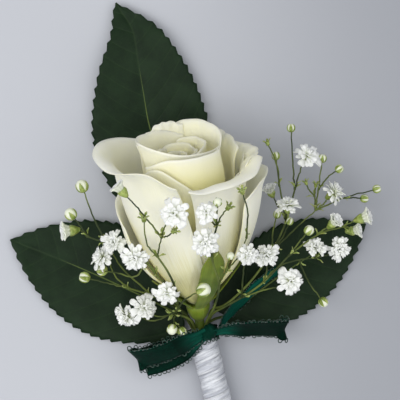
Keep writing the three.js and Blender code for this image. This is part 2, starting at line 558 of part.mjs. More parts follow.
const SPRIGS = {
  babys_breath_left: {
    ring: 165,
    trunk: [bloom(-40, 4.5, 3.8), bloom(-20, 14.3, 3.6), bloom(-20.5, 21.5, 3.4), bloom(-25, 26.7, 3.2)],
    twigs: [
      { path: [bloom(-25, 26.7, 3.2), bloom(-22.2, 29.8, 3), bloom(-18.6, 33.3, 3)] },
      { path: [bloom(-18.6, 33.3, 3), bloom(-24.4, 37.9, 3), bloom(-31.5, 43, 3.4), bloom(-38.4, 47.8, 4.6)],
        end: "flower", size: 0.75 },
      { path: [bloom(-18.6, 33.3, 3), bloom(-13.6, 34.1, 3.2), bloom(-8, 36.5, 4)], end: "bud", size: 0.5 },
      { path: [bloom(-18.6, 33.3, 3), bloom(-14.2, 37.4, 3.4), bloom(-7, 42.2, 4.9)], end: "flower",
        face: [0, -0.1, 1] },
      { path: [bloom(-25, 26.7, 3.2), bloom(-30.6, 30.1, 3), bloom(-27.3, 40, 3.6)], end: "bud", size: 0.7 },
      { path: [bloom(-20, 14.3, 3.6), bloom(-31.2, 19.5, 3.8), bloom(-34.5, 25.1, 4)] },
      { path: [bloom(-31.2, 19.5, 3.8), bloom(-34.5, 25.1, 4), bloom(-37.3, 28.3, 6.5)], end: "flower",
        face: [-0.1, -0.5, 1] },
      { path: [bloom(-34.5, 25.1, 4), [-18.5, -21.6, 25], [-24, -20.8, 18.5], [-28.3, -20.3, 14]],
        end: "bud" },
      { path: [bloom(-40, 4.5, 3.8), bloom(-34, 11, 4.4), bloom(-24.9, 16, 6)], end: "flower", size: 0.9,
        face: [-0.1, -0.5, 1] },
    ],
  },
  babys_breath_far_left: {
    ring: 200,
    trunk: [[-8, -31, 7.2], [-14, -28, 8.4], [-20.5, -25.8, 9.6]],
    twigs: [
      { path: [[-20.5, -25.8, 9.6], [-27, -24.2, 10], [-33.6, -22.5, 10]], end: "bud" },
      { path: [[-20.5, -25.8, 9.6], [-24.6, -22, 12.6], [-28, -16.6, 16]], end: "flower",
        face: [-0.7, 0.35, 0.7] },
      { path: [[-14, -28, 8.4], [-22, -20.6, 10.5], [-24.8, -16, 15.5], [-27, -12, 18.6]] },
      { path: [[-27, -12, 18.6], [-26, -11.9, 20.5], [-24.4, -12, 23]], end: "flower", face: [-0.1, 0.1, 1] },
      { path: [[-27, -12, 18.6], [-30.8, -4, 19.4], [-33.6, 4, 20]], end: "bud", size: 1.15 },
      { path: [[-27, -12, 18.6], [-32, -10.6, 16.5], [-37.6, -8.8, 14.4]], end: "flower", size: 0.85,
        face: [-0.9, -0.1, 0.3] },
      { path: [[-32, -10.6, 16.5], [-34.6, -7, 17.4], [-37, -4, 18.4]], end: "bud", size: 1.1 },
    ],
  },
  babys_breath_low: {
    ring: 130,
    trunk: [[-5, -33.6, 12], [-7.5, -32.8, 13]],
    twigs: [
      { path: [[-7.5, -32.8, 13], [-11.5, -33.8, 13], [-16.2, -31.2, 14.6]], end: "flower",
        face: [0.2, 0.3, 1] },
      { path: [[-7.5, -32.8, 13], [-14, -35, 11.6], [-21.2, -33.4, 12]], end: "flower",
        face: [-0.6, -0.2, 0.8] },
      { path: [[-7.5, -32.8, 13], [-7.4, -35, 15.2], [-8, -37.1, 17.7]], end: "bud" },
      { path: [[-7.5, -32.8, 13], bloom(-5.2, 14.9, 6), bloom(7, 16.2, 5.6)], end: "bud", size: 1.15 },
    ],
  },
  babys_breath_front: {
    ring: 50,
    trunk: [
      bloom(36, 3, 4.2), bloom(23.9, 14.9, 4), bloom(15.7, 24.4, 3.4), bloom(16.4, 29.8, 3),
      bloom(19.2, 34.7, 3),
    ],
    twigs: [
      { path: [bloom(15.7, 24.4, 3.4), bloom(12.9, 28.3, 3.6), bloom(9.2, 32.8, 6)], end: "flower",
        face: [0, -0.2, 1] },
      { path: [bloom(19.2, 34.7, 3), bloom(15.2, 38, 3.6), bloom(11.2, 41.9, 6)], end: "flower", size: 0.75,
        face: [0, 0, 1] },
      { path: [bloom(19.2, 34.7, 3), bloom(19, 39.4, 4), bloom(18, 44.2, 6.4)], end: "bud", size: 0.75 },
      { path: [bloom(19.2, 34.7, 3), bloom(22.1, 37.7, 3.4), bloom(26.3, 41.2, 5)], end: "bud", size: 0.5 },
      { path: [bloom(23.9, 14.9, 4), bloom(30.8, 17.9, 3.2), bloom(41.7, 21.4, 3), bloom(47.2, 26.8, 3)] },
      { path: [bloom(47.2, 26.8, 3), bloom(44.6, 35.5, 3), bloom(37.3, 43.7, 4)], end: "bud", size: 0.6 },
      { path: [bloom(30.8, 17.9, 3.2), bloom(29.8, 21.3, 3.6), bloom(28.6, 25.1, 4.6)], end: "bud",
        size: 0.7 },
    ],
  },
  babys_breath_right: {
    ring: 15,
    trunk: [[7, -31, 12.4], [12, -28, 15.4], [18, -23.6, 18.4], [25.2, -16, 19.6]],
    twigs: [
      { path: [[25.2, -16, 19.6], [28.4, -11.8, 20.2], [31, -8.6, 21]], end: "bud", size: 1.1 },
      { path: [[25.2, -16, 19.6], [33.5, -10, 17.4], [41, -7.6, 15.4], [47, -5.2, 14.2]], end: "flower",
        size: 0.85, face: [0.9, 0.25, 0.3] },
      { path: [[41, -7.6, 15.4], [42.8, -8, 13.8], [44.6, -8.8, 12.2]], end: "flower", size: 0.7,
        face: [0.8, -0.3, 0.4] },
      { path: [[33.5, -10, 17.4], [35.8, -8.2, 18.4], [38, -6.6, 19.4]], end: "flower", size: 0.7,
        face: [0.4, 0.5, 0.7] },
      { path: [[18, -23.6, 18.4], [22.5, -19.2, 16.2], [28.6, -17.2, 15], [33.2, -16.8, 14.2]] },
      { path: [[33.2, -16.8, 14.2], [33.4, -15.4, 15.6], [33, -13.6, 18]], end: "flower", size: 0.9,
        face: [0.1, 0.4, 0.8] },
      { path: [[33.2, -16.8, 14.2], [37, -15.8, 13.2], [40, -14, 15.4]], end: "flower",
        face: [0.1, -0.1, 1] },
      { path: [[28.6, -17.2, 15], [30.5, -22, 13], [33, -26, 11], [36, -29.8, 9.6]], end: "bud" },
      { path: [[12, -28, 15.4], [18.4, -26, 14.4], [23, -24.8, 14.6], [26, -23.2, 17]], end: "flower",
        face: [0, -0.1, 1] },
      { path: [[18, -23.6, 18.4], [18.8, -20, 23.4], [18.6, -15.4, 28]], end: "flower", face: [0, -0.2, 1] },
      { path: [[12, -28, 15.4], bloom(46, 17, 5.6), bloom(40, 24.8, 6.6)], end: "flower", size: 0.8,
        face: [0.3, -0.3, 1] },
    ],
  },
  babys_breath_far_right: {
    ring: 340,
    trunk: [[7.2, -30.6, 9.8], [14, -24.4, 11.4], [20.8, -15, 12], [25, -6, 12.6], [27.4, 3, 13.2]],
    twigs: [
      { path: [[27.4, 3, 13.2], [26.8, 11, 13.6], [26.3, 20.8, 14]], end: "bud" },
      { path: [[27.4, 3, 13.2], [28.6, 7.4, 13.8], [30.8, 12.6, 15.4]], end: "flower",
        face: [0.3, 0.5, 0.8] },
      { path: [[25, -6, 12.6], [24.8, -4, 17], [25, -1.6, 20.4]], end: "flower", size: 0.9,
        face: [0, 0.8, 0.5] },
      { path: [[25, -6, 12.6], [23, 4, 12.4], [22, 12.8, 12]], end: "bud", size: 0.85 },
      { path: [[23, 4, 12.4], [23.2, 10, 15], [22.2, 17, 16.8]], end: "bud", size: 0.9 },
      { path: [[20.8, -15, 12], [27, -9, 10.4], [33.6, -3, 10]] },
      { path: [[33.6, -3, 10], [34.4, 3, 11.4], [35.4, 12, 13.6]], end: "bud", size: 0.95 },
      { path: [[34.4, 3, 11.4], [37, 6.6, 12.6], [40.2, 9, 14]], end: "bud", size: 0.95 },
      { path: [[33.6, -3, 10], [36.4, -0.6, 11.4], [38.6, 2, 13]], end: "flower", face: [0.5, 0.4, 0.3] },
      { path: [[33.6, -3, 10], [42, 0.6, 10.4], [51.4, 3.2, 11]], end: "bud", size: 0.95 },
      { path: [[42, 0.6, 10.4], [45, 0.6, 9.6], [48, 0.4, 9]], end: "bud", size: 0.85 },
    ],
  },
};

// A double flower that looks along +Z: a green cup, a ring of notched petals and a smaller ring of
// upright ones over it. Each row is the radius at a petal's middle and at a notch, and the height.
const PETAL_PAIRS = 6;
const FLOWER_ROWS = [
  [0.8, 0.8, -FLOWER_DEPTH + 0.3],
  [1.3, 1.3, -0.8],
  [FLOWER_RADIUS, 2, 0.3],
  [1.3, 1.3, 0.9],
  [1.6, 2.9, 2.1],
];
const FLOWER_CROWN = 1.2;

function flowerShape() {
  const sides = 2 * PETAL_PAIRS;
  const rings = FLOWER_ROWS.map(([petal, notch, height]) => {
    const corners = [];
    for (let k = 0; k < sides; k++) {
      const turn = (2 * Math.PI * k) / sides;
      const radius = k % 2 ? notch : petal;
      corners.push(new THREE.Vector3(radius * Math.cos(turn), radius * Math.sin(turn), height));
    }
    return corners;
  });
  return loft(rings, new THREE.Vector3(0, 0, -FLOWER_DEPTH), new THREE.Vector3(0, 0, FLOWER_CROWN));
}

const flower = geometryOf(flowerShape());
const bud = new THREE.IcosahedronGeometry(BUD_RADIUS, 0);

// A copy of a shape that looks along +Z, turned to look along a direction and put at a point.
function placed(shape, point, direction, scale) {
  const turn = new THREE.Quaternion().setFromUnitVectors(UP, direction);
  const matrix = new THREE.Matrix4().compose(point, turn, new THREE.Vector3(scale, scale, scale));
  return solidOf(shape.clone().applyMatrix4(matrix));
}

function sprigSolid(sprig) {
  const trunk = [...pastHip(sprig.ring), ...sprig.trunk];
  const solids = [stem(bundled(sprig.ring), trunk, THIN_STEM, TWIG, 4, 2)];
  for (const { path, end, size = 1, face } of sprig.twigs) {
    const points = path.map(vec);
    const last = points[points.length - 1];
    const onward = last.clone().sub(points[points.length - 2]).normalize();
    if (end === "flower") {
      const look = face ? vec(face).normalize() : onward;
      solids.push(placed(flower, last, look, size));
      last.addScaledVector(look, -FLOWER_DEPTH * size + 0.5);
    }
    if (end === "bud") solids.push(placed(bud, last, onward, size));
    solids.push(stem([], points, TWIG, 0.36, 3, points.length > 3 ? 1 : 2));
  }
  return fuse(solids);
}

// The tape and the ribbon

// What would lie below the table, which presses a flat on whatever rests on it.
const underTable = () => solidOf(new THREE.BoxGeometry(400, 400, 20).translate(0, 0, -10));

// Satin tape wound round the stems: a screw whose every turn starts a step above the last.
function stemWrap() {
  const sides = 16;
  const length = WRAP_END - WRAP_TOP;
  const turns = Math.ceil(length / WRAP_PITCH) + 2;
  const steps = turns * sides;
  const points = [];
  for (let i = 0; i <= steps; i++) {
    const turn = (2 * Math.PI * i) / sides;
    const start = WRAP_PITCH * (i / sides - 1);
    for (const [radius, along] of [[WRAP_RADIUS + WRAP_STEP, start], [WRAP_RADIUS, start + WRAP_PITCH]]) {
      points.push(new THREE.Vector3(radius * Math.cos(turn), along, radius * Math.sin(turn)));
    }
  }
  // Each step has a point on the tape's raised edge and one where the next turn covers it.
  const raised = (i) => 2 * i;
  const covered = (i) => 2 * i + 1;
  const faces = [];
  for (let i = 0; i < steps; i++) {
    faces.push([raised(i), covered(i), covered(i + 1)], [raised(i), covered(i + 1), raised(i + 1)]);
    if (i + sides < steps) {
      faces.push([covered(i), raised(i + sides), raised(i + sides + 1)]);
      faces.push([covered(i), raised(i + sides + 1), covered(i + 1)]);
    }
  }
  const bottom = points.push(new THREE.Vector3(0, -WRAP_PITCH, 0)) - 1;
  const top = points.push(new THREE.Vector3(0, WRAP_PITCH * turns, 0)) - 1;
  const firstEdge = [];
  const lastEdge = [];
  for (let i = 0; i <= sides; i++) {
    firstEdge.push(raised(i));
    lastEdge.push(covered(steps - sides + i));
  }
  firstEdge.push(covered(0), raised(0));
  lastEdge.push(raised(steps), covered(steps - sides));
  for (let i = 0; i < firstEdge.length - 1; i++) {
    faces.push([bottom, firstEdge[i], firstEdge[i + 1]], [top, lastEdge[i + 1], lastEdge[i]]);
  }
  let screw = solidOf(geometryFrom(points, faces));
  if (screw.volume() < 0) screw = flipped(points, faces);
  const room = 2 * WRAP_RADIUS;
  const outside = solidOf(new THREE.CylinderGeometry(room, room, length, 8).translate(0, length / 2, 0));
  const bore = solidOf(new THREE.CylinderGeometry(WRAP_BORE, WRAP_BORE, 3 * length, 20));
  const frame = new THREE.Matrix4().makeBasis(bundleRight, bundleAxis, bundleUp.clone().negate());
  frame.setPosition(inBundle(WRAP_TOP, 0, 0));
  const tube = solidOf(geometryOf(screw.intersect(outside).subtract(bore)).applyMatrix4(frame));
  return tube.subtract(underTable()).simplify(FINEST);
}

// The bow's stretches of ribbon: the middle line, and the way across the ribbon at its start and end.
// A loop is gathered at both ends, and a loose end only at its start.
const KNOT = { centre: [2.6, -38.3, 11.8], half: [3.0, 2.7, 2.7] };
const RIBBON_RING = { inner: 4.4, outer: 5.0, from: 0.1, to: 3.4 };
const GATHER = 0.38; // the knot gathers the ribbon to this share of its width
const OPENS = 9; // and it opens out over this distance from there
const RIBBON = [
  { // left loop, over and back
    path: [[1.8, -38.2, 12.6], [-2.4, -40.4, 14.2], [-8.4, -43.4, 14.8], [-13.8, -45.2, 14],
      [-17.4, -46.1, 12], [-18.2, -46.4, 10.4], [-16.2, -45.8, 9.2], [-10, -43.6, 9.8],
      [-3.2, -40.6, 11.2], [1.4, -38.8, 11.2]],
    across: [[-0.34, 0.56, 0.74], [-0.34, 0.6, 0.7]],
    loop: true,
  },
  { // right loop, over and back
    path: [[3.8, -38.2, 12.5], [9, -37.4, 14], [17, -37.1, 14.2], [22.6, -37.4, 12.8], [24.4, -37.6, 11],
      [22.8, -37.6, 9.6], [15, -37.4, 9.6], [9, -37.8, 10.8], [4, -38.4, 11.2]],
    across: [[0, 0.52, 0.85], [0.05, 0.55, 0.82]],
    loop: true,
  },
  { // the end that lies over the right leaf
    path: [[5.2, -38.9, 6.4], [7.5, -34.6, 6.4], [12.6, -29.2, 6.4], [17.8, -24.4, 6.6], [23, -20.4, 6.8]],
    across: [[0, 0.5, 0.8], [-0.24, 0.24, 0.92]],
    loop: false,
  },
  { // the end under the left loop
    path: [[2.2, -39.4, 11.4], [-3.2, -42.4, 10.8], [-10, -46.4, 8], [-16.6, -48.4, 6.8]],
    across: [[-0.3, 0.6, 0.6], [-0.3, 0.8, 0.4]],
    loop: false,
  },
];

function ribbonStretch({ path, across, loop }) {
  const curve = new THREE.CatmullRomCurve3(path.map(vec), false, "centripetal");
  const steps = 3 * (path.length - 1);
  const gathered = loop ? [curve.getPoint(0), curve.getPoint(1)] : [curve.getPoint(0)];
  const at = (a, b) => {
    const point = curve.getPoint(b);
    const apart = Math.min(...gathered.map((end) => end.distanceTo(point)));
    const width = RIBBON_WIDTH * mix(GATHER, 1, THREE.MathUtils.smoothstep(apart, 0, OPENS));
    const way = vec(across[0]).lerp(vec(across[1]), b).normalize();
    return point.addScaledVector(way, (a - 0.5) * width);
  };
  return sheet(at, 1, steps, RIBBON_THICK);
}

function ribbonBow() {
  const { inner, outer, from, to } = RIBBON_RING;
  const ring = turned([[inner, 0], [outer, 0], [outer, to - from], [inner, to - from], [inner, 0]], 20,
    inBundle(from, 0, 0), bundleAxis);
  const [right, along, up] = KNOT.half;
  const frame = new THREE.Matrix4().makeBasis(
    bundleRight.clone().multiplyScalar(right),
    bundleUp.clone().multiplyScalar(up),
    bundleAxis.clone().multiplyScalar(along),
  );
  frame.setPosition(...KNOT.centre);
  const knot = solidOf(new THREE.SphereGeometry(1, 8, 6).applyMatrix4(frame));
  return fuse([ring, knot, ...RIBBON.map(ribbonStretch)]);
}

// The whole boutonniere, with the middle of its outline on the table as its origin

const CREAM = 0xf3f0d8;
const LEAF_GREEN = 0x1f3a22;
const STEM_GREEN = 0x6f8a2c;
const BREATH = 0xe6ebdd;
const SATIN_WHITE = 0xe3e5ea;
const RIBBON_GREEN = 0x0d3325;

const table = new THREE.Group();
table.add(meshOf("rose_petals", roseBloom(), CREAM, 0.5));
table.add(meshOf("rose_sepals_and_stem", roseCalyx(), STEM_GREEN, 0.55));
for (const [name, leaf] of Object.entries(LEAVES)) table.add(meshOf(name, leafSolid(leaf), LEAF_GREEN, 0.45));
for (const [name, sprig] of Object.entries(SPRIGS)) table.add(meshOf(name, sprigSolid(sprig), BREATH, 0.6));
table.add(meshOf("stem_wrap", stemWrap(), SATIN_WHITE, 0.35));
table.add(meshOf("ribbon_bow", ribbonBow(), RIBBON_GREEN, 0.4));

const group = new THREE.Group();
group.name = "boutonniere";
group.add(table);
const middle = new THREE.Box3().setFromObject(group, true).getCenter(new THREE.Vector3());
table.position.set(-middle.x, -middle.y, 0);

export default group;
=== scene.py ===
# A white rose boutonniere lying on its back: one half-open rose, three saw-edged leaves and sprigs of
# baby's breath, bound in white satin tape and tied with a dark green picot ribbon.
# Shapes are worked out in millimetres over the table, in the same table frame as the solids' own
# points. Shape.finish moves each one to the model's frame, in metres.
import math
from collections import namedtuple

import bpy
import numpy as np
from mathutils import Matrix, Vector


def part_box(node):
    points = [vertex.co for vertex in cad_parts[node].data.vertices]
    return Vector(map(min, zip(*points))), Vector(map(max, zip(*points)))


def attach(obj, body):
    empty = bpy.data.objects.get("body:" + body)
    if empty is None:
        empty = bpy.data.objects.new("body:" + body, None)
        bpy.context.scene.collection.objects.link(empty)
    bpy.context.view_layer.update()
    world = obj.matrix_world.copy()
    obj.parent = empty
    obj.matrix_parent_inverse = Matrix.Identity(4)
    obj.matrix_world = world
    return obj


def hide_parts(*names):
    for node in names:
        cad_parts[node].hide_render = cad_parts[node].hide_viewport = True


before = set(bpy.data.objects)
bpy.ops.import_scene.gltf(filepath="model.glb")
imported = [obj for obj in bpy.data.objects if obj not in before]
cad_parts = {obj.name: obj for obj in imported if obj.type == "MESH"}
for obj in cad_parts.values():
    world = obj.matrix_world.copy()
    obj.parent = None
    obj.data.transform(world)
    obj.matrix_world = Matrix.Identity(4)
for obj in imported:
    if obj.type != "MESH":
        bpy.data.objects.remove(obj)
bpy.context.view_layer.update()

MM = 0.001
BODY = "root"
LEFT_TIP_X = -56.2  # the left leaf's tip and the top leaf's tip, in the table frame
TOP_TIP_Y = 58.4
TABLE_SHIFT = np.array([
    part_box("leaf_left")[0][0] / MM - LEFT_TIP_X,
    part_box("leaf_top")[1][1] / MM - TOP_TIP_Y,
    0,
])


def put(name, data):
    """A new object in the scene, made of a mesh, a lamp or a lens."""
    thing = bpy.data.objects.new(name, data)
    bpy.context.scene.collection.objects.link(thing)
    return thing


# The camera looks straight down on the flower, over the middle of the photograph's view

CAMERA_HEIGHT = 0.462
LENS = 139.66
SENSOR = 36


def look_at_flower():
    lens = bpy.data.cameras.new("camera")
    lens.lens = LENS
    lens.sensor_width = SENSOR
    camera = put("camera", lens)
    camera.location = (TABLE_SHIFT[0] * MM, TABLE_SHIFT[1] * MM, CAMERA_HEIGHT)
    bpy.context.scene.camera = camera


look_at_flower()

# Small sums on arrays


def rise(x, low, high):
    """0 below low, 1 above high and a smooth step between."""
    t = np.clip((np.asarray(x, dtype=float) - low) / (high - low), 0, 1)
    return t * t * (3 - 2 * t)


def blend(a, b, t):
    return a + (b - a) * t


def unit(v):
    v = np.asarray(v, dtype=float)
    return v / np.maximum(np.linalg.norm(v, axis=-1, keepdims=True), 1e-12)


def round_turn(count):
    """Evenly spaced angles all the way round."""
    return np.arange(count) * 2 * math.pi / count


def spokes(turn, first, second):
    """Directions at angles from a first direction towards a second."""
    return np.multiply.outer(np.cos(turn), first) + np.multiply.outer(np.sin(turn), second)


def lattice(along, across):
    """Two grids of values: one that changes from row to row, one from column to column."""
    return np.meshgrid(along, across, indexing="ij")


def triples(x, y, z):
    """Points, or place values, from three grids or numbers."""
    return np.stack(np.broadcast_arrays(x, y, z), -1)


def kept_above(points, height):
    """Points, lifted where they are lower than a height."""
    points[..., 2] = np.maximum(points[..., 2], height)
    return points


def walked_along(line):
    """How far each point of a line lies from its start, along the line."""
    return np.concatenate([[0], np.cumsum(np.linalg.norm(np.diff(line, axis=0), axis=1))])


def waves(x, seed, count=4, slowest=2.0, fastest=9.0):
    """A smooth uneven wave of x, about 1 high, that a seed fixes."""
    draw = np.random.default_rng(seed)
    total = np.zeros_like(np.asarray(x, dtype=float))
    for rate in np.linspace(slowest, fastest, count):
        total = total + np.sin(rate * x + draw.uniform(0, 2 * math.pi)) * (slowest / rate) ** 0.6
    return total / count ** 0.5


def spline(values, t):
    """A smooth line through evenly spaced values."""
    values = np.asarray(values, dtype=float)
    last = len(values) - 1
    place = np.clip(t, 0, 1) * last
    i = np.clip(np.floor(place).astype(int), 0, last - 1)
    f = place - i
    p0, p1 = values[np.maximum(i - 1, 0)], values[i]
    p2, p3 = values[i + 1], values[np.minimum(i + 2, last)]
    return p1 + 0.5 * f * (p2 - p0 + f * (2 * p0 - 5 * p1 + 4 * p2 - p3 + f * (3 * (p1 - p2) + p3 - p0)))


def smooth_path(points, steps):
    """A centripetal curve through points, with a number of steps between each two."""
    p = np.asarray(points, dtype=float)
    p = np.vstack([2 * p[0] - p[1], p, 2 * p[-1] - p[-2]])
    line = []
    for a, b, c, d in zip(p[:-3], p[1:-2], p[2:-1], p[3:]):
        d0, d1, d2 = (max(math.dist(*pair), 1e-4) ** 0.5 for pair in ((a, b), (b, c), (c, d)))
        start = ((b - a) / d0 - (c - a) / (d0 + d1) + (c - b) / d1) * d1
        end = ((c - b) / d1 - (d - b) / (d1 + d2) + (d - c) / d2) * d1
        for t in np.arange(steps) / steps:
            cubic = 3 * (c - b) - 2 * start - end + t * (2 * (b - c) + start + end)
            line.append(b + t * (start + t * cubic))
    return np.array([*line, p[-2]])


# Meshes


class Shape:
    """Points, faces, materials and named values of a mesh that is being made."""

    def __init__(self, *materials):
        self.materials = materials
        self.points, self.faces, self.slots, self.places = [], [], [], []

    def add(self, points, faces, places, slot=0):
        """Adds a closed form: its points, a place value for each, and its faces, turned to face outwards."""
        first = len(self.points)
        points, places = (np.reshape(values, (-1, 3)).tolist() for values in (points, places))
        self.points.extend(points)
        self.places.extend(places)
        self.faces.extend([i + first for i in face] for face in facing_out(points, faces))
        self.slots.extend([slot] * len(faces))

    def mesh(self, name, scale=1.0, shift=(0, 0, 0)):
        mesh = bpy.data.meshes.new(name)
        points = (np.array(self.points) + np.array(shift)) * scale
        mesh.from_pydata(points.tolist(), [], self.faces)
        for material in self.materials:
            mesh.materials.append(material)
        mesh.polygons.foreach_set("material_index", self.slots)
        mesh.polygons.foreach_set("use_smooth", [True] * len(self.faces))
        place = mesh.attributes.new("place", "FLOAT_VECTOR", "POINT")
        place.data.foreach_set("vector", np.array(self.places, dtype=float).ravel())
        mesh.update()
        return mesh

    def finish(self, name):
        """The shape as an object in the model's frame."""
        return put(name, self.mesh(name, MM, TABLE_SHIFT))


def facing_out(points, faces):
    """The faces of a closed form, turned round if they point inwards."""
    p = np.asarray(points)
    volume = sum(
        np.dot(p[face[0]], np.cross(p[b], p[c])) for face in faces for b, c in zip(face[1:-1], face[2:])
    )
    return [face[::-1] for face in faces] if volume < 0 else faces


def rings_joined(rings, sides, closed=False):
    """The faces between rings of points. closed: the last ring joins the first."""
    faces = []
    for k in range(rings if closed else rings - 1):
        low, high = k * sides, (k + 1) % rings * sides
        for i in range(sides):
            j = (i + 1) % sides
            faces.append([low + i, low + j, high + j, high + i])
    return faces


def thin_sheet(shape, middle, thickness, places, slot=0, outward=None):
    """Adds a closed thin sheet about a grid of points: its two faces and the rim between them.

    thickness is a number, or one for each point. outward is a direction, or one for each point, that tells
    which face is the outer one. The third place value of the outer face is raised by 1."""
    normals = unit(np.cross(np.gradient(middle, axis=1), np.gradient(middle, axis=0)))
    if outward is not None and np.sum(normals * outward) < 0:
        normals = -normals
    half = normals * np.asarray(thickness)[..., None] / 2
    index = np.arange(middle[..., 0].size).reshape(middle.shape[:2])
    count = index.size
    corners = (index[:-1, :-1], index[:-1, 1:], index[1:, 1:], index[1:, :-1])
    quads = np.stack(corners, axis=-1).reshape(-1, 4).tolist()
    faces = quads + [[i + count for i in quad[::-1]] for quad in quads]
    rim = [*index[0, :], *index[1:, -1], *index[-1, -2::-1], *index[-2:0:-1, 0]]
    faces += [[j, i, i + count, j + count] for i, j in zip(rim, [*rim[1:], rim[0]])]
    shape.add([middle + half, middle - half], faces, [places + np.array([0, 0, 1.0]), places], slot)


UP = (0.0, 0.0, 1.0)
OFF_AXIS = (0.3, 0.2, 1.0)  # a direction that no turned form's axis has


def capped(shape, rings, ends, places, end_places, slot):
    """Adds rings of points, closed at the first and the last ring by a point."""
    count, sides = rings.shape[:2]
    faces = rings_joined(count, sides)
    end = count * sides
    for i in range(sides):
        j = (i + 1) % sides
        faces += [[end, j, i], [end + 1, end - sides + i, end - sides + j]]
    points = np.concatenate([rings.reshape(-1, 3), ends])
    shape.add(points, faces, np.concatenate([places.reshape(-1, 3), end_places]), slot)


def tube(shape, line, radii, sides, slot=0, cut=0.0):
    """Adds a closed round tube along a line. The third place value is cut in the middle of its ends."""
    walked, turn = walked_along(line), round_turn(sides)
    normal, rings = np.array(UP), []
    for centre, radius, ahead in zip(line, np.broadcast_to(radii, len(line)), np.gradient(line, axis=0)):
        ahead = unit(ahead)
        normal = unit(normal - ahead * np.dot(normal, ahead))
        rings.append(centre + radius * spokes(turn, normal, np.cross(ahead, normal)))
    places = triples(turn, walked[:, None], 0)
    capped(shape, np.array(rings), line[[0, -1]], places, [[0, 0, cut], [0, walked[-1], cut]], slot)


def turned(shape, profile, sides, origin=(0, 0, 0), axis=UP, slot=0, ripple=0.0):
    """Adds a closed turned form: radius and height pairs about an axis. Its ends are on the axis."""
    axis = unit(axis)
    right = unit(np.cross(axis, OFF_AXIS))
    turn = round_turn(sides)
    out = spokes(turn, np.cross(right, axis), right) * (1 + ripple * np.cos(5 * turn))[:, None]
    radii, heights = np.array(profile, dtype=float).T
    middles = origin + np.multiply.outer(heights, axis)
    rings = middles[1:-1, None] + np.multiply.outer(radii[1:-1], out)
    places = triples(turn, np.linspace(0, 1, len(profile))[1:-1, None], 0)
    capped(shape, rings, middles[[0, -1]], places, [[0, 0, 0], [0, 1, 0]], slot)


# Frames of the bound stems and of the bloom

TIE = np.array([0.1, -37.7, 5.2])  # where the ribbon is tied, on the bundle's centre line
BUNDLE_LEAN = math.radians(13.8)
BUNDLE_SINK = 0.0317
WRAP_TOP = 0.4  # distances from the tie, towards the cut ends
WRAP_END = 41
STEMS_END = 44.5
WRAP_RADIUS = 3.8
WRAP_BORE = 3.0
STEM_RING = 2.25
SPRIG_RING = 2.29
ROSE_STEM = 1.5
ROSE_NECK = 1.22
THIN_STEM = 0.42
STEM_START = -0.3  # a thin stem's last point in the bundle

BUNDLE_RIGHT = spokes(BUNDLE_LEAN, (1, 0, 0), (0, 1, 0))
BUNDLE_AXIS = unit([math.sin(BUNDLE_LEAN), -math.cos(BUNDLE_LEAN), -BUNDLE_SINK])
BUNDLE_UP = -np.cross(BUNDLE_RIGHT, BUNDLE_AXIS)


def in_bundle(distance, degrees, radius):
    """A point in the bundle: distance from the tie, degrees round the centre line, radius."""
    out = spokes(np.radians(degrees), BUNDLE_RIGHT, BUNDLE_UP)
    return TIE + np.multiply.outer(distance, BUNDLE_AXIS) + np.asarray(radius)[..., None] * out


def bundled(ring):
    """A thin stem's straight start in its place in the bundle."""
    return [in_bundle(d, ring, STEM_RING) for d in (STEMS_END, WRAP_END / 2)]


BLOOM_BASE = np.array([-0.8, -29.3, 9.4])
BLOOM_TILT = math.radians(25.5)
BLOOM_TURN = math.radians(6.5)
GUARD_PROFILE = ((2.6, 0.4), (6.5, 7.2), (21.2, 17.5), (22, 49))  # radius, height
BACK_FLATTENING = 0.08

BLOOM_AXIS = spokes(BLOOM_TILT, spokes(BLOOM_TURN, (0, 1, 0), (-1, 0, 0)), (0, 0, 1))
BLOOM_RIGHT = spokes(BLOOM_TURN, (1, 0, 0), (0, 1, 0))
BLOOM_FRONT = np.cross(BLOOM_RIGHT, BLOOM_AXIS)


def out_from_bloom(turn):
    """The direction away from the bloom's axis, at an angle from the side that faces up."""
    return spokes(turn, BLOOM_FRONT, BLOOM_RIGHT)


def in_bloom(turn, radius, height):
    """A point of the bloom: angle from the side that faces up, radius, height."""
    out = np.asarray(radius, dtype=float)[..., None] * out_from_bloom(turn)
    return BLOOM_BASE + np.multiply.outer(height, BLOOM_AXIS) + out


def flattened(radius, turn):
    """A radius of the bloom, smaller on its back, which lies on the leaves."""
    return radius * (1 - BACK_FLATTENING * np.maximum(0, -np.cos(turn)))


def on_profile(profile, t):
    """Radius and height at t along a cubic curve of radius and height pairs."""
    t = np.asarray(t, dtype=float)
    s = 1 - t
    weights = (s ** 3, 3 * s * s * t, 3 * s * t * t, t ** 3)
    return tuple(sum(w * corner[k] for w, corner in zip(weights, profile)) for k in (0, 1))


def off_profile(turn, t, distance):
    """A point a distance off the outer petals' side view, t along it from the bloom's base."""
    r0, h0 = on_profile(GUARD_PROFILE, t)
    r1, h1 = on_profile(GUARD_PROFILE, np.asarray(t) + 0.01)
    heading = np.arctan2(r1 - r0, h1 - h0)
    radius = flattened(r0, turn) + distance * np.cos(heading)
    return in_bloom(turn, radius, h0 - distance * np.sin(heading))


def bloom(degrees, height, distance):
    """A point outside the outer petals: degrees round the bloom, the petal's height, distance off it."""
    along = np.linspace(0, 1, 400)
    t = np.interp(height, on_profile(GUARD_PROFILE, along)[1], along)
    return tuple(off_profile(math.radians(degrees), t, distance))


# The rose

